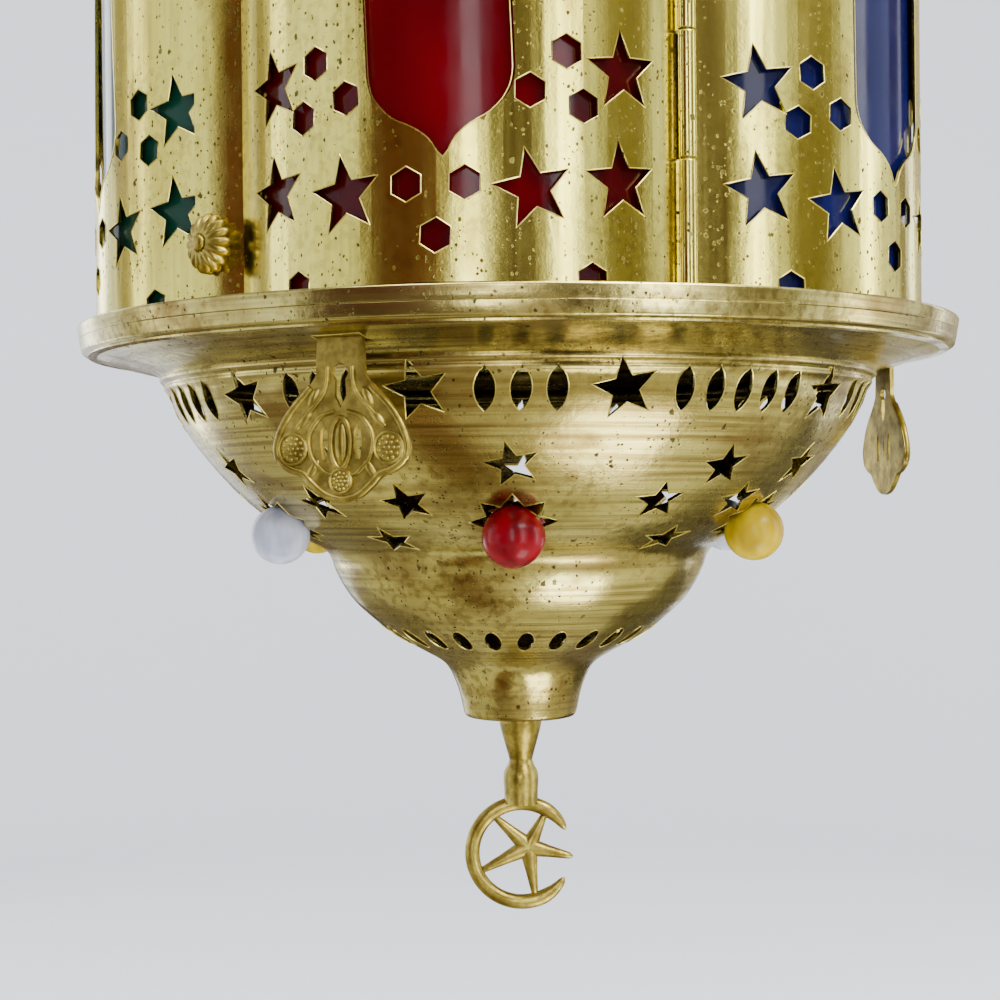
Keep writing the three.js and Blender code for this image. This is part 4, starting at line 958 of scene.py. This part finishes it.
def doorOutline():
    # the door's sheet, bent at the left crease into a lap over its neighbour
    sheet, gap = bodyLook["sheet"], bodyLook["gap"]
    turn = Matrix.Rotation(-2 * halfStep, 2)
    own, other = Vector((0, -lobeCentre)), turn @ Vector((0, -lobeCentre))
    crease = (-halfChord, -bodyLook["crease"] * math.cos(halfStep))
    lapEnd = lobeHalf - bodyLook["lap"] / lobeRadius

    def lap(depth):
        bend = circlesMeet(own, lobeRadius - (0 if depth < -gap else sheet), other, lobeRadius - depth, crease)
        local = turn.inverted() @ bend
        bendTurn = math.atan2(local.x, -local.y - lobeCentre)
        return [tuple(turn @ Vector(point)) for point in arc(lapEnd, bendTurn, depth, 8)], bend

    outer, outerBend = lap(-gap - sheet)
    inner, innerBend = lap(-gap)
    right = lobeHalf - bodyLook["hingeSeam"] / lobeRadius
    front = arc(math.atan2(outerBend.x, -outerBend.y - lobeCentre), right, 0)[1:]
    back = arc(math.atan2(innerBend.x, -innerBend.y - lobeCentre), right, sheet)[1:]
    return outer + front + back[::-1] + inner[::-1]


def knuckleSpans(parity):
    low, high = bodyBottom + bodyLook["doorClear"], bodyTop - bodyLook["doorClear"]
    count, gap = bodyLook["knuckles"], bodyLook["knuckleGap"] / 2
    pitch = (high - low) / count
    topGap = bodyLook["pinHeadRoom"]
    return [(low + i * pitch + (gap if i else 0), low + (i + 1) * pitch - (topGap if i == count - 1 else gap))
            for i in range(parity, count, 2)]


hingePlace = Matrix.Translation((hingeRadius * math.sin(halfStep), -hingeRadius * math.cos(halfStep), 0))


def barrel(bottom, top):
    outer, bore = bodyLook["barrel"], bodyLook["bore"]
    section = rounded([(bore, bottom), (outer, bottom, 0.4), (outer, top, 0.4), (bore, top)], 0.15, 3)
    return moved(spin(section, 32, True), hingePlace)


leafLook = {"inset": 1.4, "depth": 0.4, "half": 0.5, "reach": 1.6}


def doorLeaf(bottom, top):
    # a narrow strip that joins the door's edge to its knuckle
    turn = lobeHalf - leafLook["inset"] / lobeRadius
    towards = Vector((math.sin(turn), -math.cos(turn))) * leafLook["reach"]
    along = Vector((math.cos(turn), math.sin(turn))) * leafLook["half"]
    root = Vector(arc(turn, turn, leafLook["depth"], 1)[0])
    corners = [root - along, root + along, root + along + towards, root - along + towards]
    return extruded([tuple(corner) for corner in corners], bottom, top)


doorBottom, doorTop = bodyBottom + bodyLook["doorClear"], bodyTop - bodyLook["doorClear"]
door = makeMesh("door_sheet", extruded(doorOutline(), doorBottom, doorTop), sheetBrass)
pierced(door, panelPlaces(0), panelOutlines, sheetBrass, bodyLook["cutReach"], seed=20)
knuckleParts = [part for low, high in knuckleSpans(0) for part in (barrel(low, high), doorLeaf(low, high))]
doorKnuckles = makeMesh("door_knuckles", joined(*knuckleParts), sheetBrass)
fit(door, "door", "sheet_brass", "door_panel")
fit(doorKnuckles, "door", "sheet_brass")
doorInset = bodyLook["doorGlassInset"]
doorStrip = lobeStrip(doorInset, doorInset, glassFront, glassFront + bodyLook["glass"])
doorPane = makeMesh("door_glass", extruded(doorStrip, doorBottom, doorTop), paneGlass["red"])
fit(doorPane, "door", "red_pane_glass", "door_pane")

# radius, height and rounding
pinProfile = [(0, 8), (1, 8, 0.3), (1, 156.2, 0.1), (1.8, 156.2, 0.3), (1.8, 157.2, 0.4), (0, 157.2)]
pinWire = spin(rounded(pinProfile, 0.2, 3, False), 24)
hingePin = makeMesh("hinge_pin_wire", moved(pinWire, hingePlace), castBrass)
fit(hingePin, "door", "cast_brass", "door_hinge_pin")

postLook = {"wing": 8, "front": 1.1, "inner": 5.5, "back": 6.3, "sheet": 0.8, "web": 0.5,
            "neck": 0.4, "neckRoot": 105.2, "neckTip": 1.6, "bend": 0.12}


def postPoint(along, depth):
    slope = endFacet - halfStep
    across = along * math.cos(slope) + depth * math.sin(slope)
    return across, -(bodyLook["crease"] + along * math.sin(slope) - depth * math.cos(slope))


def webPoint(across, depth):
    slope = endFacet - halfStep
    return across, -(bodyLook["crease"] - depth / math.cos(slope) + abs(across) * math.tan(slope))


def hingePost():
    look = postLook
    wing, web, front, back, inner = (look[key] for key in ("wing", "web", "front", "back", "inner"))
    behind = front + look["sheet"]
    right = [postPoint(wing, front), postPoint(wing, behind), webPoint(web, behind), webPoint(web, inner),
             postPoint(wing, inner), postPoint(wing, back)]
    left = [webPoint(-web, back), webPoint(-web, front)]
    outline = rounded([webPoint(0, front)] + right + [webPoint(0, back)] + left, look["bend"], 2)
    parts = [turned(extruded(outline, bodyBottom, bodyTop), 30)]
    half, root, tip = look["neck"], -look["neckRoot"], look["neckTip"] - hingeRadius
    neck = [(-half, root), (half, root), (half, tip), (-half, tip)]
    for low, high in knuckleSpans(1):
        parts += [turned(extruded(neck, low, high), 30), barrel(low, high)]
    return joined(*parts)


fit(makeMesh("hinge_post_came", hingePost(), sheetBrass), "lantern", "sheet_brass", "hinge_post")
for name in ("right_post", "right_back_post", "left_back_post", "left_post", "latch_post",
             "door_left_stile", "door_right_stile"):
    for slot in bpy.data.objects[name].material_slots:
        slot.material = sheetBrass

knobLook = {
    "foot": [(0, 0), (6.9, 0)],
    "dome": [(7.4, 0.2), (7.5, 1.0), (7.1, 2.0), (5.8, 3.2), (3.9, 4.0), (2.5, 4.3)],
    "dish": [(2.2, 4.0), (0, 4.0)],
    "buttonFoot": [(0, 3.4), (1.9, 3.4)],
    "button": [(2.0, 4.0), (1.8, 4.8), (1.0, 5.3), (0, 5.5)],
    "shank": [(0, -1.8), (1.5, -1.8, 0.3), (1.5, 1, 0), (0, 1)],
    "flutes": 16, "fluteDepth": 0.15,
    "fromEdge": 7, "standOut": 1.7, "level": 22,
    "tilt": 18,             # it was riveted a little askew
}


def knob():
    look = knobLook
    domeSection = look["foot"] + smoothed(look["dome"]) + look["dish"]
    dome = spin(domeSection, 128, False, look["flutes"], look["fluteDepth"])
    button = spin(look["buttonFoot"] + smoothed(look["button"]), 32)
    return joined(dome, button, spin(rounded(look["shank"], 0.2, 3, False), 24))


knobTurn = math.degrees(lobeHalf - knobLook["fromEdge"] / lobeRadius)
knobPlace = wallFrame(knobTurn, lobeRadius + knobLook["standOut"], knobLook["level"])
knobTilt = Matrix.Rotation(-math.radians(knobLook["tilt"]), 4, "Y")
knobFrame = aboutZ(-60) @ Matrix.Translation((0, -lobeCentre, 0)) @ knobPlace @ knobTilt
doorKnob = makeMesh("door_knob_rosette", moved(knob(), knobFrame), castBrass)
fit(doorKnob, "door", "cast_brass", "door_knob")
print("door made")

plateLook = {"rimRadius": 124.95, "rimHeight": 3.79, "rimWidth": 2.6, "rimLean": 0.7, "sheet": 1.0, "hole": 97,
             "baseLevel": 6.3, "topLevel": 158.9,
             # rounding at the hole, in the corner, at the rim's edge inside and outside, on top and at the hole
             "bends": (0.3, 0.4, 0.8, 0.25, 1.0, 0.3)}


def plateSection(level, flip):
    look = plateLook
    outside, sheet, hole = look["rimRadius"], look["sheet"], look["hole"]
    inside, edge = outside - look["rimWidth"], sheet - look["rimHeight"]
    corners = [(hole, 0), (inside, 0), (inside, edge), (outside - look["rimLean"], edge), (outside, sheet),
               (hole, sheet)]
    section = [corner + (bend,) for corner, bend in zip(corners, look["bends"])]
    return [(radius, level + flip * height) for radius, height in rounded(section, 0.4, 4)]


for node, level, flip in (("base_plate", plateLook["baseLevel"], 1), ("top_plate", plateLook["topLevel"], -1)):
    plate = makeMesh(f"{node}_ring", spin(plateSection(level, flip), bowlLook["segments"], True), spunBrass)
    fit(plate, "lantern", "spun_brass", node)

capLook = dict(bowlLook, profile=[
    (101, -8), (97.6, -15), (93, -23), (87, -30.5), (80, -37), (71.5, -43.6), (62, -50), (46, -59.6), (32, -68),
    (24.5, -75.2), (20, -83), (17.8, -89.5), (16.8, -94.4), (15.4, -96), (10, -96), (5.3, -96)], level=165.2,
    vents=8, ventRadius=4, ventLevel=61)


def cap():
    section = [(radius, capLook["level"] - height) for radius, height in spunShell(capLook["profile"], capLook)]
    piece = makeMesh("cap_shell", spin(section, capLook["segments"], True), spunBrass)
    chain = smoothed(capLook["profile"])
    places = []
    for i in range(capLook["vents"]):
        radius, outRadial, outHeight = chainAt(chain, -capLook["ventLevel"])
        turn = (i + 0.5) * 360 / capLook["vents"]
        frameOf = wallFrame(turn, radius, capLook["level"] + capLook["ventLevel"], outRadial, -outHeight)
        places.append((frameOf, 0))
    pierced(piece, places, outlineSet("capCuts", [roundOutline(capLook["ventRadius"], 24)]), spunBrass, seed=3)
    return fit(piece, "lantern", "spun_brass", "cap")


cap()

lampLook = {
    "tubeRadius": 5, "tubeBore": 3.5, "tubeBottom": 199.5, "tubeTop": 268.2,
    "threadPitch": 1.5, "threadDepth": 0.3, "threadEnd": 1,
    "locknut": (17, 5.3, 255.9, 259.9),     # width, bore, bottom and top
    "holderBottom": 162.2,
    # radius, height above the holder's bottom and rounding
    "holder": [(0, 30, 0), (13.5, 30, 0.6), (13.5, 0, 0.6), (20, 0, 1.5), (20, 6, 0.6), (18.8, 7, 0.6),
               (18.8, 9, 0.6), (20, 10, 0.6), (20, 32, 3), (8.5, 37, 2), (8.5, 46, 1), (5.3, 46, 0.4),
               (5.3, 37, 0.3), (0, 37, 0)],
    "bulbTop": 191.9,
    # the same below the bulb's top, which hangs upside down
    "bulbNeck": [(0, 0, 0), (13, 0, 1), (13, 27, 0.5), (12.2, 28, 0.5), (13.2, 31, 1)],
    "bulbRound": [(13.2, 31), (15.8, 36), (20, 41.5), (25.2, 49), (28.6, 58), (30, 68), (29.9, 76), (27.9, 85),
                  (23.6, 93.4), (16.8, 100), (8.6, 103.8), (0, 105)],
}


def threadTree():
    # a ridge that winds round the tube
    tree, given = newGroup("windThread", {
        "Tube": "Geometry", "Turns": "Float", "Radius": "Float", "Length": "Float", "Ridge": "Float",
        "Bottom": "Vector", "Metal": "Material"})
    helix = shapeOf(tree, "CurveSpiral", {
        "Resolution": 24, "Rotations": given["Turns"], "Start Radius": given["Radius"],
        "End Radius": given["Radius"], "Height": given["Length"]})
    ridge = shapeOf(tree, "CurvePrimitiveCircle", {"Resolution": 6, "Radius": given["Ridge"]})
    wound = shapeOf(tree, "CurveToMesh", {0: helix, 1: ridge, "Fill Caps": True})
    placed = shapeOf(tree, "Transform", {0: wound, "Translation": given["Bottom"]})
    return endGroup(tree, shapeOf(tree, "JoinGeometry", {0: [given["Tube"], placed]}), given["Metal"])


def hexNut(width, bore, bottom, top):
    # six flats with bevelled ends, and a round bore
    corner, bevel, sides = width / math.sqrt(3), 0.5, 24
    levels = ((bottom, bevel), (bottom + bevel, 0), (top - bevel, 0), (top, bevel))
    points = [(x, y, z) for z, inset in levels for x, y in roundOutline(corner - inset, 6)]
    faces = [[row + i, row + (i + 1) % 6, row + 6 + (i + 1) % 6, row + 6 + i]
             for row in (0, 6, 12) for i in range(6)]
    start = len(points)
    points += [(x, y, z) for z in (bottom, top) for x, y in roundOutline(bore, sides)]
    each = sides // 6
    for i in range(6):
        after = (i + 1) % 6
        low = [start + (i * each + k) % sides for k in range(each + 1)]
        high = [n + sides for n in low]
        faces += [[i] + low + [after], [start - 6 + after] + high[::-1] + [start - 6 + i]]
    faces += [[start + i, start + (i + 1) % sides, start + sides + (i + 1) % sides, start + sides + i]
              for i in range(sides)]
    return points, faces


def lampParts():
    look = lampLook
    low, high, end = look["tubeBottom"], look["tubeTop"], look["threadEnd"]
    outer, bore = look["tubeRadius"] - look["threadDepth"], look["tubeBore"]
    section = rounded([(bore, low), (outer, low, 0.4), (outer, high, 0.4), (bore, high)], 0.2, 3)
    tube = makeMesh("threaded_tube_wire", spin(section, 48, True), castBrass)
    length = high - low - 2 * end
    applyTree(tube, threadTree(), {
        "Turns": length / look["threadPitch"], "Radius": outer / 1000, "Length": length / 1000,
        "Ridge": look["threadDepth"] / 1000, "Bottom": (0, 0, (low + end + rimLevel) / 1000),
        "Metal": castBrass})
    fit(tube, "lantern", "cast_brass", "threaded_tube")
    fit(makeMesh("tube_locknut_hex", hexNut(*look["locknut"]), castBrass), "lantern", "cast_brass",
        "tube_locknut")
    holder = rounded(raised(look["holder"], look["holderBottom"]), 0.5, 5, False)
    fit(makeMesh("lamp_holder_moulding", spin(holder), holderPlastic), "lantern", "dark_holder_plastic",
        "lamp_holder")
    neck, globe = rounded(look["bulbNeck"], 0.5, 4, False), smoothed(look["bulbRound"], 5)
    chain = [(radius, look["bulbTop"] - below) for radius, below in neck + globe[1:]]
    fit(makeMesh("bulb_envelope", spin(chain), bulbGlass), "lantern", "frosted_bulb_glass", "bulb")


def torus(radius, wire, segments=96, sides=24):
    # stands in the XZ plane
    points, faces = [], []
    for i in range(segments):
        turn = 2 * math.pi * i / segments
        for k in range(sides):
            angle = 2 * math.pi * k / sides
            r = radius + wire * math.cos(angle)
            points.append((r * math.cos(turn), wire * math.sin(angle), r * math.sin(turn)))
        a, b = i * sides, ((i + 1) % segments) * sides
        faces += [[a + k, a + (k + 1) % sides, b + (k + 1) % sides, b + k] for k in range(sides)]
    return points, faces


hangLook = {
    "collarBottom": 261.5, "collarRadius": 8.5,
    # radius, height above the collar's bottom and rounding
    "collar": [(0, 15, 0), (5.3, 15, 0.3), (5.3, 0, 0.3), (8.5, 0, 0.8), (8.5, 2.5, 0.5), (7.9, 3.3, 0.4),
               (7.9, 5, 0.4), (8.5, 5.8, 0.5), (8.5, 16, 1.6), (5.6, 18, 1.5), (0, 18, 0)],
    "cordHole": 3.2, "cordTurn": 180, "cordLevel": 11, "cordReach": 4.5,
    "eye": (9.5, 2.5), "eyeLevel": 289, "ring": (20, 2.5), "ringLevel": 313.2,
}


def hangingParts():
    look = hangLook
    collar = rounded(raised(look["collar"], look["collarBottom"]), 0.4, 4, False)
    collarPiece = makeMesh("hanging_loop_casting", spin(collar, 72), castBrass)
    hole = wallFrame(look["cordTurn"], look["collarRadius"], look["collarBottom"] + look["cordLevel"])
    cordOutline = outlineSet("cordHole", [roundOutline(look["cordHole"], 24)])
    pierced(collarPiece, [(hole, 0)], cordOutline, castBrass, look["cordReach"])
    fit(collarPiece, "lantern", "cast_brass", "hanging_loop")
    eyePlace = Matrix.Translation((0, 0, look["eyeLevel"])) @ aboutZ(90)
    fit(makeMesh("hanging_loop_eye", moved(torus(*look["eye"]), eyePlace), castBrass), "lantern", "cast_brass")
    ringPlace = Matrix.Translation((0, 0, look["ringLevel"]))
    ring = makeMesh("hanging_ring_wire", moved(torus(*look["ring"], 120), ringPlace), castBrass)
    fit(ring, "ring", "cast_brass", "hanging_ring")


lampParts()
hangingParts()
print("cap, lamp and hanging gear made")

marbleLook = {
    "radius": 8, "standOut": 4.2, "back": 5.9, "colours": ["red", "yellow", "white"] * 2,
    "names": ["front", "right_front", "right_back", "back", "left_back", "left_front"],
    # half length, half width, thickness and turn of the strip that holds a bead from behind
    "strap": (14.5, 2, 0.8, 22.5), "strapGap": 0.3, "strapCorner": 1.2,
}


def bead():
    radius, back = marbleLook["radius"], marbleLook["back"]
    turns = np.linspace(math.asin(-back / radius), math.pi / 2, 24)
    side = [(radius * math.cos(turn), radius * math.sin(turn)) for turn in turns[:-1]]
    return spin([(0, -back)] + side + [(0, radius)], 48)


def strap():
    half, width, sheet, turn = marbleLook["strap"]
    corners = [(-half, -width), (half, -width), (half, width), (-half, width)]
    front = -marbleLook["back"] - marbleLook["strapGap"]
    return turned(extruded(rounded(corners, marbleLook["strapCorner"], 5), front - sheet, front), turn)


for i, name in enumerate(marbleLook["names"]):
    place = bowlPlace(i * 60, bowlLook["beadLevel"]) @ Matrix.Translation((0, 0, marbleLook["standOut"]))
    colour = marbleLook["colours"][i]
    ball = makeMesh(f"{name}_bead_ball", moved(bead(), place), beadGlass[colour], 50)
    fit(ball, "lantern", f"{colour}_bead_glass", f"{name}_bead")
    strip = makeMesh(f"{name}_strap_strip", moved(strap(), place), sheetBrass)
    fit(strip, "lantern", "sheet_brass", f"{name}_bead_strap")
print("beads made")

# A pendant is drawn in the XZ plane, with its pivot at the origin. Places on it are given as the
# distance to its right and the depth below its slot.
pendantLook = {
    "drop": 2.33, "pivot": -0.767, "tab": (6, -0.4), "plate": 0.6,
    "outline": [
        (6.0, 2), (6.2, 6), (6.4, 8.4), (7.6, 10.2), (9.3, 12.2), (12.4, 15.2), (15.4, 19.2), (17.2, 23.4),
        (17.5, 26), (16.4, 29), (13.6, 31), (10.6, 32), (8.4, 34.2), (5.2, 36.7), (2.4, 37.7), (0, 38),
    ],
    "eye": [(1.3, -6), (2.2, -6, 0.4), (2.2, 6, 0.4), (1.3, 6)],
    "pin": [(0, -9.5), (1, -9.5, 0.3), (1, 9.5, 0.3), (0, 9.5)],
    # the middle opening is round above and ends in a tip below
    "holeRadius": 2.1, "holeBelow": 7.8, "holeTurns": (-0.87, 4.0),
    "holeTip": [(-1.5, 13.3), (0, 16.2), (1.5, 13.3)],
    "sideCut": [(4.2, 19.4), (3.4, 21.6), (3.3, 25.0), (3.9, 27.8), (4.9, 28.0), (5.4, 24.4), (5.2, 21.2)],
    "leafSize": (1.75, 1.2, 4.9), "leafBelow": 24.2, "leafRim": (2.5, 6.0),
    # place and lean of the small leaves on the right
    "smallLeafSize": (1.2, 0.9, 2.7), "smallLeaves": [(7.4, 30.2, 0.6), (9.4, 18.6, 0.75), (7.0, 13.6, 0.5)],
    "medallions": [(-12.4, 25.4, 3.6), (12.4, 25.4, 3.6), (0, 33, 2.7)],
    "sweep": [(1.6, 16.8), (5.4, 18.2), (8.2, 22.4), (7.6, 27.4), (4.6, 30.8), (2.6, 31.6)],
    "branch": [(3.2, 6.5), (3.4, 10), (4.6, 13), (8.6, 17.4), (11.4, 20.6)],
    "rimRadius": 0.95, "rimInset": 0.75, "rimFrom": 14, "rimLower": -30, "rimInsetShare": 0.8,
    "lineRadius": 0.55,
    # how far forward the middles of the relief, the rim and the lines lie
    "reliefOut": 0.35, "rimOut": 0.25, "lineOut": 0.6,
}
medallionLook = {
    "wire": 0.42, "wireOut": 0.75, "dome": 0.55, "domeOut": 0.6, "dot": (0.46, 0.3, 0.46), "dotOut": 1.1,
    "dots": [(0, 1), (0.36, 6), (0.7, 11)],     # each ring's share of the radius and its number of dots
}


def wireTree():
    # a round wire along a drawn path
    tree, given = newGroup("wireAlongPath", {"Path": "Geometry", "Wire radius": "Float", "Metal": "Material"})
    path = shapeOf(tree, "MeshToCurve", {0: given["Path"]})
    circle = shapeOf(tree, "CurvePrimitiveCircle", {"Resolution": 12, "Radius": given["Wire radius"]})
    return endGroup(tree, shapeOf(tree, "CurveToMesh", {0: path, 1: circle, "Fill Caps": True}), given["Metal"])


wiring = wireTree()


def wires(name, paths, radius, matrix, closed=False):
    points, edges = [], []
    for path in paths:
        start = len(points)
        points += [tuple((matrix @ Vector(point) + Vector((0, 0, rimLevel))) / 1000) for point in path]
        edges += [(start + i, start + i + 1) for i in range(len(path) - 1)]
        if closed:
            edges.append((len(points) - 1, start))
    mesh = bpy.data.meshes.new(name)
    mesh.from_pydata(points, edges, [])
    return applyTree(linked(name, mesh), wiring, {"Wire radius": radius / 1000, "Metal": castBrass}, 60)


def dropPoint(x, below, forward=0.0):
    return x, -forward, -pendantLook["drop"] - below


def ellipsoid(halfX, halfY, halfZ, sides=24, rings=12):
    section = [(math.cos(turn), math.sin(turn)) for turn in np.linspace(-math.pi / 2, math.pi / 2, rings)]
    section[0], section[-1] = (0, -1), (0, 1)
    points, faces = spin(section, sides)
    return [(x * halfX, y * halfY, z * halfZ) for x, y, z in points], faces


def plateWithHoles(outline, holes, thickness):
    # flat plate in the XZ plane, filled between its outline and its holes
    shape = bmesh.new()
    for loop in [outline] + holes:
        verts = [shape.verts.new((x, -thickness, z)) for x, z in loop]
        for a, b in zip(verts, verts[1:] + verts[:1]):
            shape.edges.new((a, b))
    bmesh.ops.triangle_fill(shape, use_beauty=True, edges=shape.edges)
    front = list(shape.faces)
    for item in bmesh.ops.extrude_face_region(shape, geom=front)["geom"]:
        if isinstance(item, bmesh.types.BMVert):
            item.co.y = thickness
    # sorted, because bmesh leaves them in another order each run
    points = sorted({tuple(v.co) for v in shape.verts})
    number = {point: i for i, point in enumerate(points)}
    faces = sorted([number[tuple(v.co)] for v in face.verts] for face in shape.faces)
    shape.free()
    return points, faces


def medallion(x, below, radius):
    look = medallionLook
    wirePlace = Matrix.Translation(dropPoint(x, below, look["wireOut"]))
    domePlace = Matrix.Translation(dropPoint(x, below, look["domeOut"]))
    parts = [moved(torus(radius, look["wire"], 36, 8), wirePlace),
             moved(ellipsoid(radius, look["dome"], radius), domePlace)]
    for share, count in look["dots"]:
        for i in range(count):
            turn = 2 * math.pi * i / count
            across, down = radius * share * math.cos(turn), radius * share * math.sin(turn)
            spot = dropPoint(x + across, below + down, look["dotOut"])
            parts.append(moved(ellipsoid(*look["dot"], 8, 6), Matrix.Translation(spot)))
    return joined(*parts)


def pendantPlate():
    look = pendantLook
    half = [look["tab"]] + pendantHalf
    radius, centre = look["holeRadius"], -look["drop"] - look["holeBelow"]
    hole = [(radius * math.cos(turn), centre + radius * math.sin(turn))
            for turn in np.linspace(*look["holeTurns"], 14)]
    holes = [hole + [(x, -look["drop"] - below) for x, below in look["holeTip"]]]
    for side in (-1, 1):
        holes.append([(side * x, -look["drop"] - below) for x, below in look["sideCut"]])
    return plateWithHoles(half + [(-x, z) for x, z in half[-2::-1]], holes, look["plate"])


def alongX(section, segments, closed=False):
    part = spin(rounded(section, 0.15 if closed else 0.2, 3, closed), segments, closed)
    return moved(part, Matrix.Rotation(math.pi / 2, 4, "Y"))


pendantHalf = smoothed([(x, -pendantLook["drop"] - below) for x, below in pendantLook["outline"]])


def pendant(name, turn):
    look = pendantLook
    place = aboutZ(turn) @ Matrix.Translation((0, -bowlLook["pendantRow"], look["pivot"]))
    middleLeaf = dropPoint(0, look["leafBelow"], look["reliefOut"])
    parts = [pendantPlate(), alongX(look["eye"], 32, True),
             moved(ellipsoid(*look["leafSize"]), Matrix.Translation(middleLeaf))]
    for x, below, lean in look["smallLeaves"]:
        for side in (1, -1):
            leaf = moved(ellipsoid(*look["smallLeafSize"], 16, 9), Matrix.Rotation(-side * lean, 4, "Y"))
            parts.append(moved(leaf, Matrix.Translation(dropPoint(side * x, below, look["reliefOut"]))))
    parts += [medallion(*spot) for spot in look["medallions"]]
    piece = makeMesh(f"{name}_pendant_casting", moved(joined(*parts), place), castBrass, 40)
    inset, lower = look["rimInset"], look["rimLower"]
    inward = inset * look["rimInsetShare"]
    rimHalf = [(x - inward, z + (inset if z < lower else 0)) for x, z in pendantHalf[look["rimFrom"]:]]
    rimHalf = [(x, z) for x, z in rimHalf if x > -0.1]
    rim = [(x, -look["rimOut"], z) for x, z in rimHalf + [(-x, z) for x, z in rimHalf[-2::-1]]]
    leafWidth, leafHeight = look["leafRim"]
    leafRim = [dropPoint(leafWidth * math.sin(t), look["leafBelow"] - leafHeight * math.cos(t), look["lineOut"])
               for t in np.linspace(0, 2 * math.pi, 33)[:-1]]
    lines = [[dropPoint(side * x, below, look["lineOut"]) for x, below in smoothed(look[line], 6)]
             for side in (-1, 1) for line in ("sweep", "branch")]
    body = f"{name}_pendant"
    fit(piece, body, "cast_brass", f"{name}_pendant")
    for part in (wires(f"{name}_pendant_rim", [rim], look["rimRadius"], place),
                 wires(f"{name}_pendant_lines", lines, look["lineRadius"], place),
                 wires(f"{name}_pendant_leaf", [leafRim], look["lineRadius"], place, True)):
        fit(part, body, "cast_brass")
    pin = makeMesh(f"{name}_pendant_wire", moved(alongX(look["pin"], 20), place), castBrass)
    fit(pin, "lantern", "cast_brass", f"{name}_pendant_pin")


for i, name in enumerate(("front", "right", "left")):
    pendant(name, bowlLook["pendantTurn"] + i * 120)
print("pendants made")

finialLook = {
    "turn": 8.6, "top": -104.5, "seam": 0.3,
    # radius and depth below the top
    "stem": [(6.2, 0), (6.15, 1.6), (5.7, 4), (4.7, 7.6), (3.6, 11.6), (3.4, 12.8), (3.9, 14.2), (4.9, 16.2),
             (5.1, 18.4), (4.9, 22), (4.9, 25.5)],
    "stud": (2.5, 8), "nut": (8, 2.8, -103.2, -99.2),
    "crescent": 14.45, "band": 4.3, "depth": 3.6, "tips": (27, 329), "tipShare": 0.14, "tipLength": 32,
    "squareness": 0.8,
    # the star's place in the crescent, its arms' angles, and the length of the free first one
    "star": (1.9, 1.6), "arms": [-12.4, 63, 137.5, 206.6, 277.6], "freeArm": 13.4, "armIntoBand": 1,
    # share of an arm's length, half width and half depth
    "armRings": [(-0.12, 2.0, 1.4), (0.0, 2.7, 1.75), (0.2, 2.35, 1.6), (0.5, 1.7, 1.35), (0.8, 1.2, 1.1),
                 (0.93, 0.95, 0.9), (1.0, 0.35, 0.4)],
}


def crescent():
    look = finialLook
    first, last = look["tips"]
    rings = []
    for degrees in np.linspace(first, last, 73):
        fromTip = min(degrees - first, last - degrees)
        thin = look["tipShare"]
        share = min(1, thin + (1 - thin) * math.sqrt(fromTip / look["tipLength"]))
        band, depth = look["band"] / 2 * share, look["depth"] / 2 * share
        angle = math.radians(degrees)
        ring = []
        for t in np.linspace(0, 2 * math.pi, 17)[:-1]:
            r = look["crescent"] + band * math.cos(t)
            y = depth * math.copysign(abs(math.sin(t)) ** look["squareness"], math.sin(t))
            ring.append((r * math.cos(angle), y, r * math.sin(angle)))
        rings.append(ring)
    return loft(rings)


def starArm(degrees, length):
    rings = [[(t * length, depth * math.sin(turn), width * math.cos(turn))
              for turn in np.linspace(0, 2 * math.pi, 13)[:-1]] for t, width, depth in finialLook["armRings"]]
    return moved(loft(rings), Matrix.Rotation(-math.radians(degrees), 4, "Y"))


def finial():
    look = finialLook
    stem = [(radius, -look["seam"] - below) for radius, below in smoothed(look["stem"])][::-1]
    studRadius, studTop = look["stud"]
    stud = rounded([(studRadius, -look["seam"], 0), (studRadius, studTop, 0.5), (0, studTop, 0)], 0.4, 3, False)
    foot = stem[0][1]
    centre = foot - look["crescent"]
    parts = [spin([(0, foot)] + stem + stud, 48), moved(crescent(), Matrix.Translation((0, 0, centre)))]
    x, z = look["star"]
    reach = look["crescent"] - look["armIntoBand"]
    for i, degrees in enumerate(look["arms"]):
        angle = math.radians(degrees)
        towards = x * math.cos(angle) + z * math.sin(angle)
        toBand = math.sqrt(reach ** 2 - x * x - z * z + towards ** 2) - towards
        arm = starArm(degrees, look["freeArm"] if i == 0 else toBand)
        parts.append(moved(arm, Matrix.Translation((x, 0, centre + z))))
    place = aboutZ(look["turn"]) @ Matrix.Translation((0, 0, look["top"]))
    piece = makeMesh("finial_casting", moved(joined(*parts), place), castBrass, 50)
    fit(piece, "lantern", "cast_brass", "finial")
    nut = turned(hexNut(*look["nut"]), look["turn"])
    fit(makeMesh("finial_nut_hex", nut, castBrass), "lantern", "cast_brass", "finial_nut")


finial()
print("finial made")

for collection in outlineSets:
    for item in list(collection.objects):
        bpy.data.objects.remove(item)
    bpy.data.collections.remove(collection)
